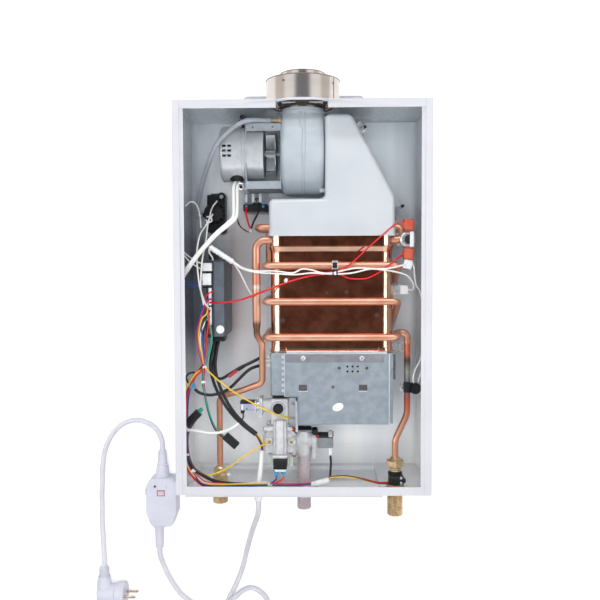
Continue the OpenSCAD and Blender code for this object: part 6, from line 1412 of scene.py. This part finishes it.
def screw_tree():
    """Domed heads with a cross slot, one on each point, sized and faced by the point's own attributes."""
    tree = bpy.data.node_groups.new("cross_screws", "GeometryNodeTree")
    face = tree.interface
    face.new_socket("Geometry", in_out="INPUT", socket_type="NodeSocketGeometry")
    for name in ("Head height", "Slot length", "Slot width", "Slot depth"):
        face.new_socket(name, in_out="INPUT", socket_type="NodeSocketFloat")
    face.new_socket("Geometry", in_out="OUTPUT", socket_type="NodeSocketGeometry")
    sizes = add(tree, "NodeGroupInput").outputs
    ball = add(tree, "GeometryNodeMeshUVSphere", {"Segments": 24, "Rings": 12, "Radius": 1.0}).outputs[0]
    flat = add(tree, "ShaderNodeCombineXYZ", {"X": 1.0, "Y": 1.0, "Z": sizes["Head height"]}).outputs[0]
    dome = add(tree, "GeometryNodeTransform", {"Geometry": ball, "Scale": flat}).outputs[0]
    raised = add(tree, "ShaderNodeCombineXYZ", {"Z": sizes["Head height"]}).outputs[0]
    deep = add(tree, "ShaderNodeMath", {0: sizes["Slot depth"], 1: 2.0}, operation="MULTIPLY").outputs[0]
    arms = []
    for long, wide in (("Slot length", "Slot width"), ("Slot width", "Slot length")):
        size = add(tree, "ShaderNodeCombineXYZ", {"X": sizes[long], "Y": sizes[wide], "Z": deep}).outputs[0]
        arm = add(tree, "GeometryNodeMeshCube", {"Size": size}).outputs[0]
        arms.append(add(tree, "GeometryNodeTransform", {"Geometry": arm, "Translation": raised}).outputs[0])
    cut = dome
    for arm in arms:
        cutter = add(tree, "GeometryNodeMeshBoolean", {"Mesh 1": cut}, operation="DIFFERENCE")
        tree.links.new(arm, cutter.inputs["Mesh 2"])
        cut = cutter.outputs[0]
    aim = add(tree, "GeometryNodeInputNamedAttribute", {"Name": "aim"}, data_type="FLOAT_VECTOR").outputs[0]
    radius = add(tree, "GeometryNodeInputNamedAttribute", {"Name": "head"}, data_type="FLOAT").outputs[0]
    facing = add(tree, "FunctionNodeAlignRotationToVector", {"Vector": aim}, axis="Z").outputs[0]
    points = add(tree, "GeometryNodeMeshToPoints", {"Mesh": sizes["Geometry"]}).outputs[0]
    heads = add(tree, "GeometryNodeInstanceOnPoints", {"Points": points, "Instance": cut, "Rotation": facing,
                                                       "Scale": radius}).outputs[0]
    quarter = add(tree, "FunctionNodeRandomValue", {"Seed": 7}, data_type="FLOAT")
    quarter.inputs[2].default_value, quarter.inputs[3].default_value = 0.0, math.pi / 2
    spin = add(tree, "ShaderNodeCombineXYZ", {"Z": quarter.outputs[1]}).outputs[0]
    heads = add(tree, "GeometryNodeRotateInstances", {"Instances": heads, "Rotation": spin}).outputs[0]
    result = add(tree, "GeometryNodeRealizeInstances", {"Geometry": heads}).outputs[0]
    kind = add(tree, "GeometryNodeInputNamedAttribute", {"Name": "kind"}, data_type="INT").outputs[0]
    for i, skin in enumerate((steel, brass, blue_crimp, iron)):
        same = add(tree, "FunctionNodeCompare", data_type="INT", operation="EQUAL")
        tree.links.new(kind, same.inputs[2])
        same.inputs[3].default_value = i
        result = add(tree, "GeometryNodeSetMaterial", {"Geometry": result, "Selection": same.outputs[0],
                                                       "Material": skin}).outputs[0]
    add(tree, "NodeGroupOutput", {"Geometry": result})
    return tree


def screw_heads():
    """The cross-slotted screws, placed by the node tree and kept as one mesh."""
    spots = bpy.data.meshes.new("screw_spots")
    spots.from_pydata([[c * MM for c in s[:3]] for s in SCREWS], [], [])
    for name, kind, values in (("head", "FLOAT", [s[3] * MM for s in SCREWS]),
                               ("kind", "INT", [int(s[4]) for s in SCREWS])):
        spots.attributes.new(name, kind, "POINT").data.foreach_set("value", values)
    aims = [c for s in SCREWS for c in Vector(s[5:] or (0, 0, 1)).normalized()]
    spots.attributes.new("aim", "FLOAT_VECTOR", "POINT").data.foreach_set("vector", aims)
    holder = put("screw_spots", spots)
    tree = screw_tree()
    step = holder.modifiers.new("screws", "NODES")
    step.node_group = tree
    sizes = {"Head height": 0.55, "Slot length": 1.25, "Slot width": 0.24, "Slot depth": 0.3}
    for item in tree.interface.items_tree:
        if item.in_out == "INPUT" and item.name in sizes:
            step[item.identifier] = sizes[item.name]
    ready = holder.evaluated_get(bpy.context.evaluated_depsgraph_get())
    mesh = bpy.data.meshes.new_from_object(ready)
    bpy.data.objects.remove(holder)
    for face in mesh.polygons:
        face.use_smooth = True
    mesh.set_sharp_from_angle(angle=math.radians(40))
    mesh.name = "screw_heads"
    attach(put("screw_heads", mesh), "heater")


for build in (exhaust_hood, fan_scroll, copper_box, motor_trim, motor_cord_boot, pressure_switch, capacitor,
              heat_guards, frost_switch, burner_front, burner_case, sparkers, gas_valve, main_coil, solenoids,
              elbow, pipe_ends, controller, cords, slotted_panel, gland, tube_clip, hood_hooks, air_ring,
              collar_marks, screw_heads):
    build()
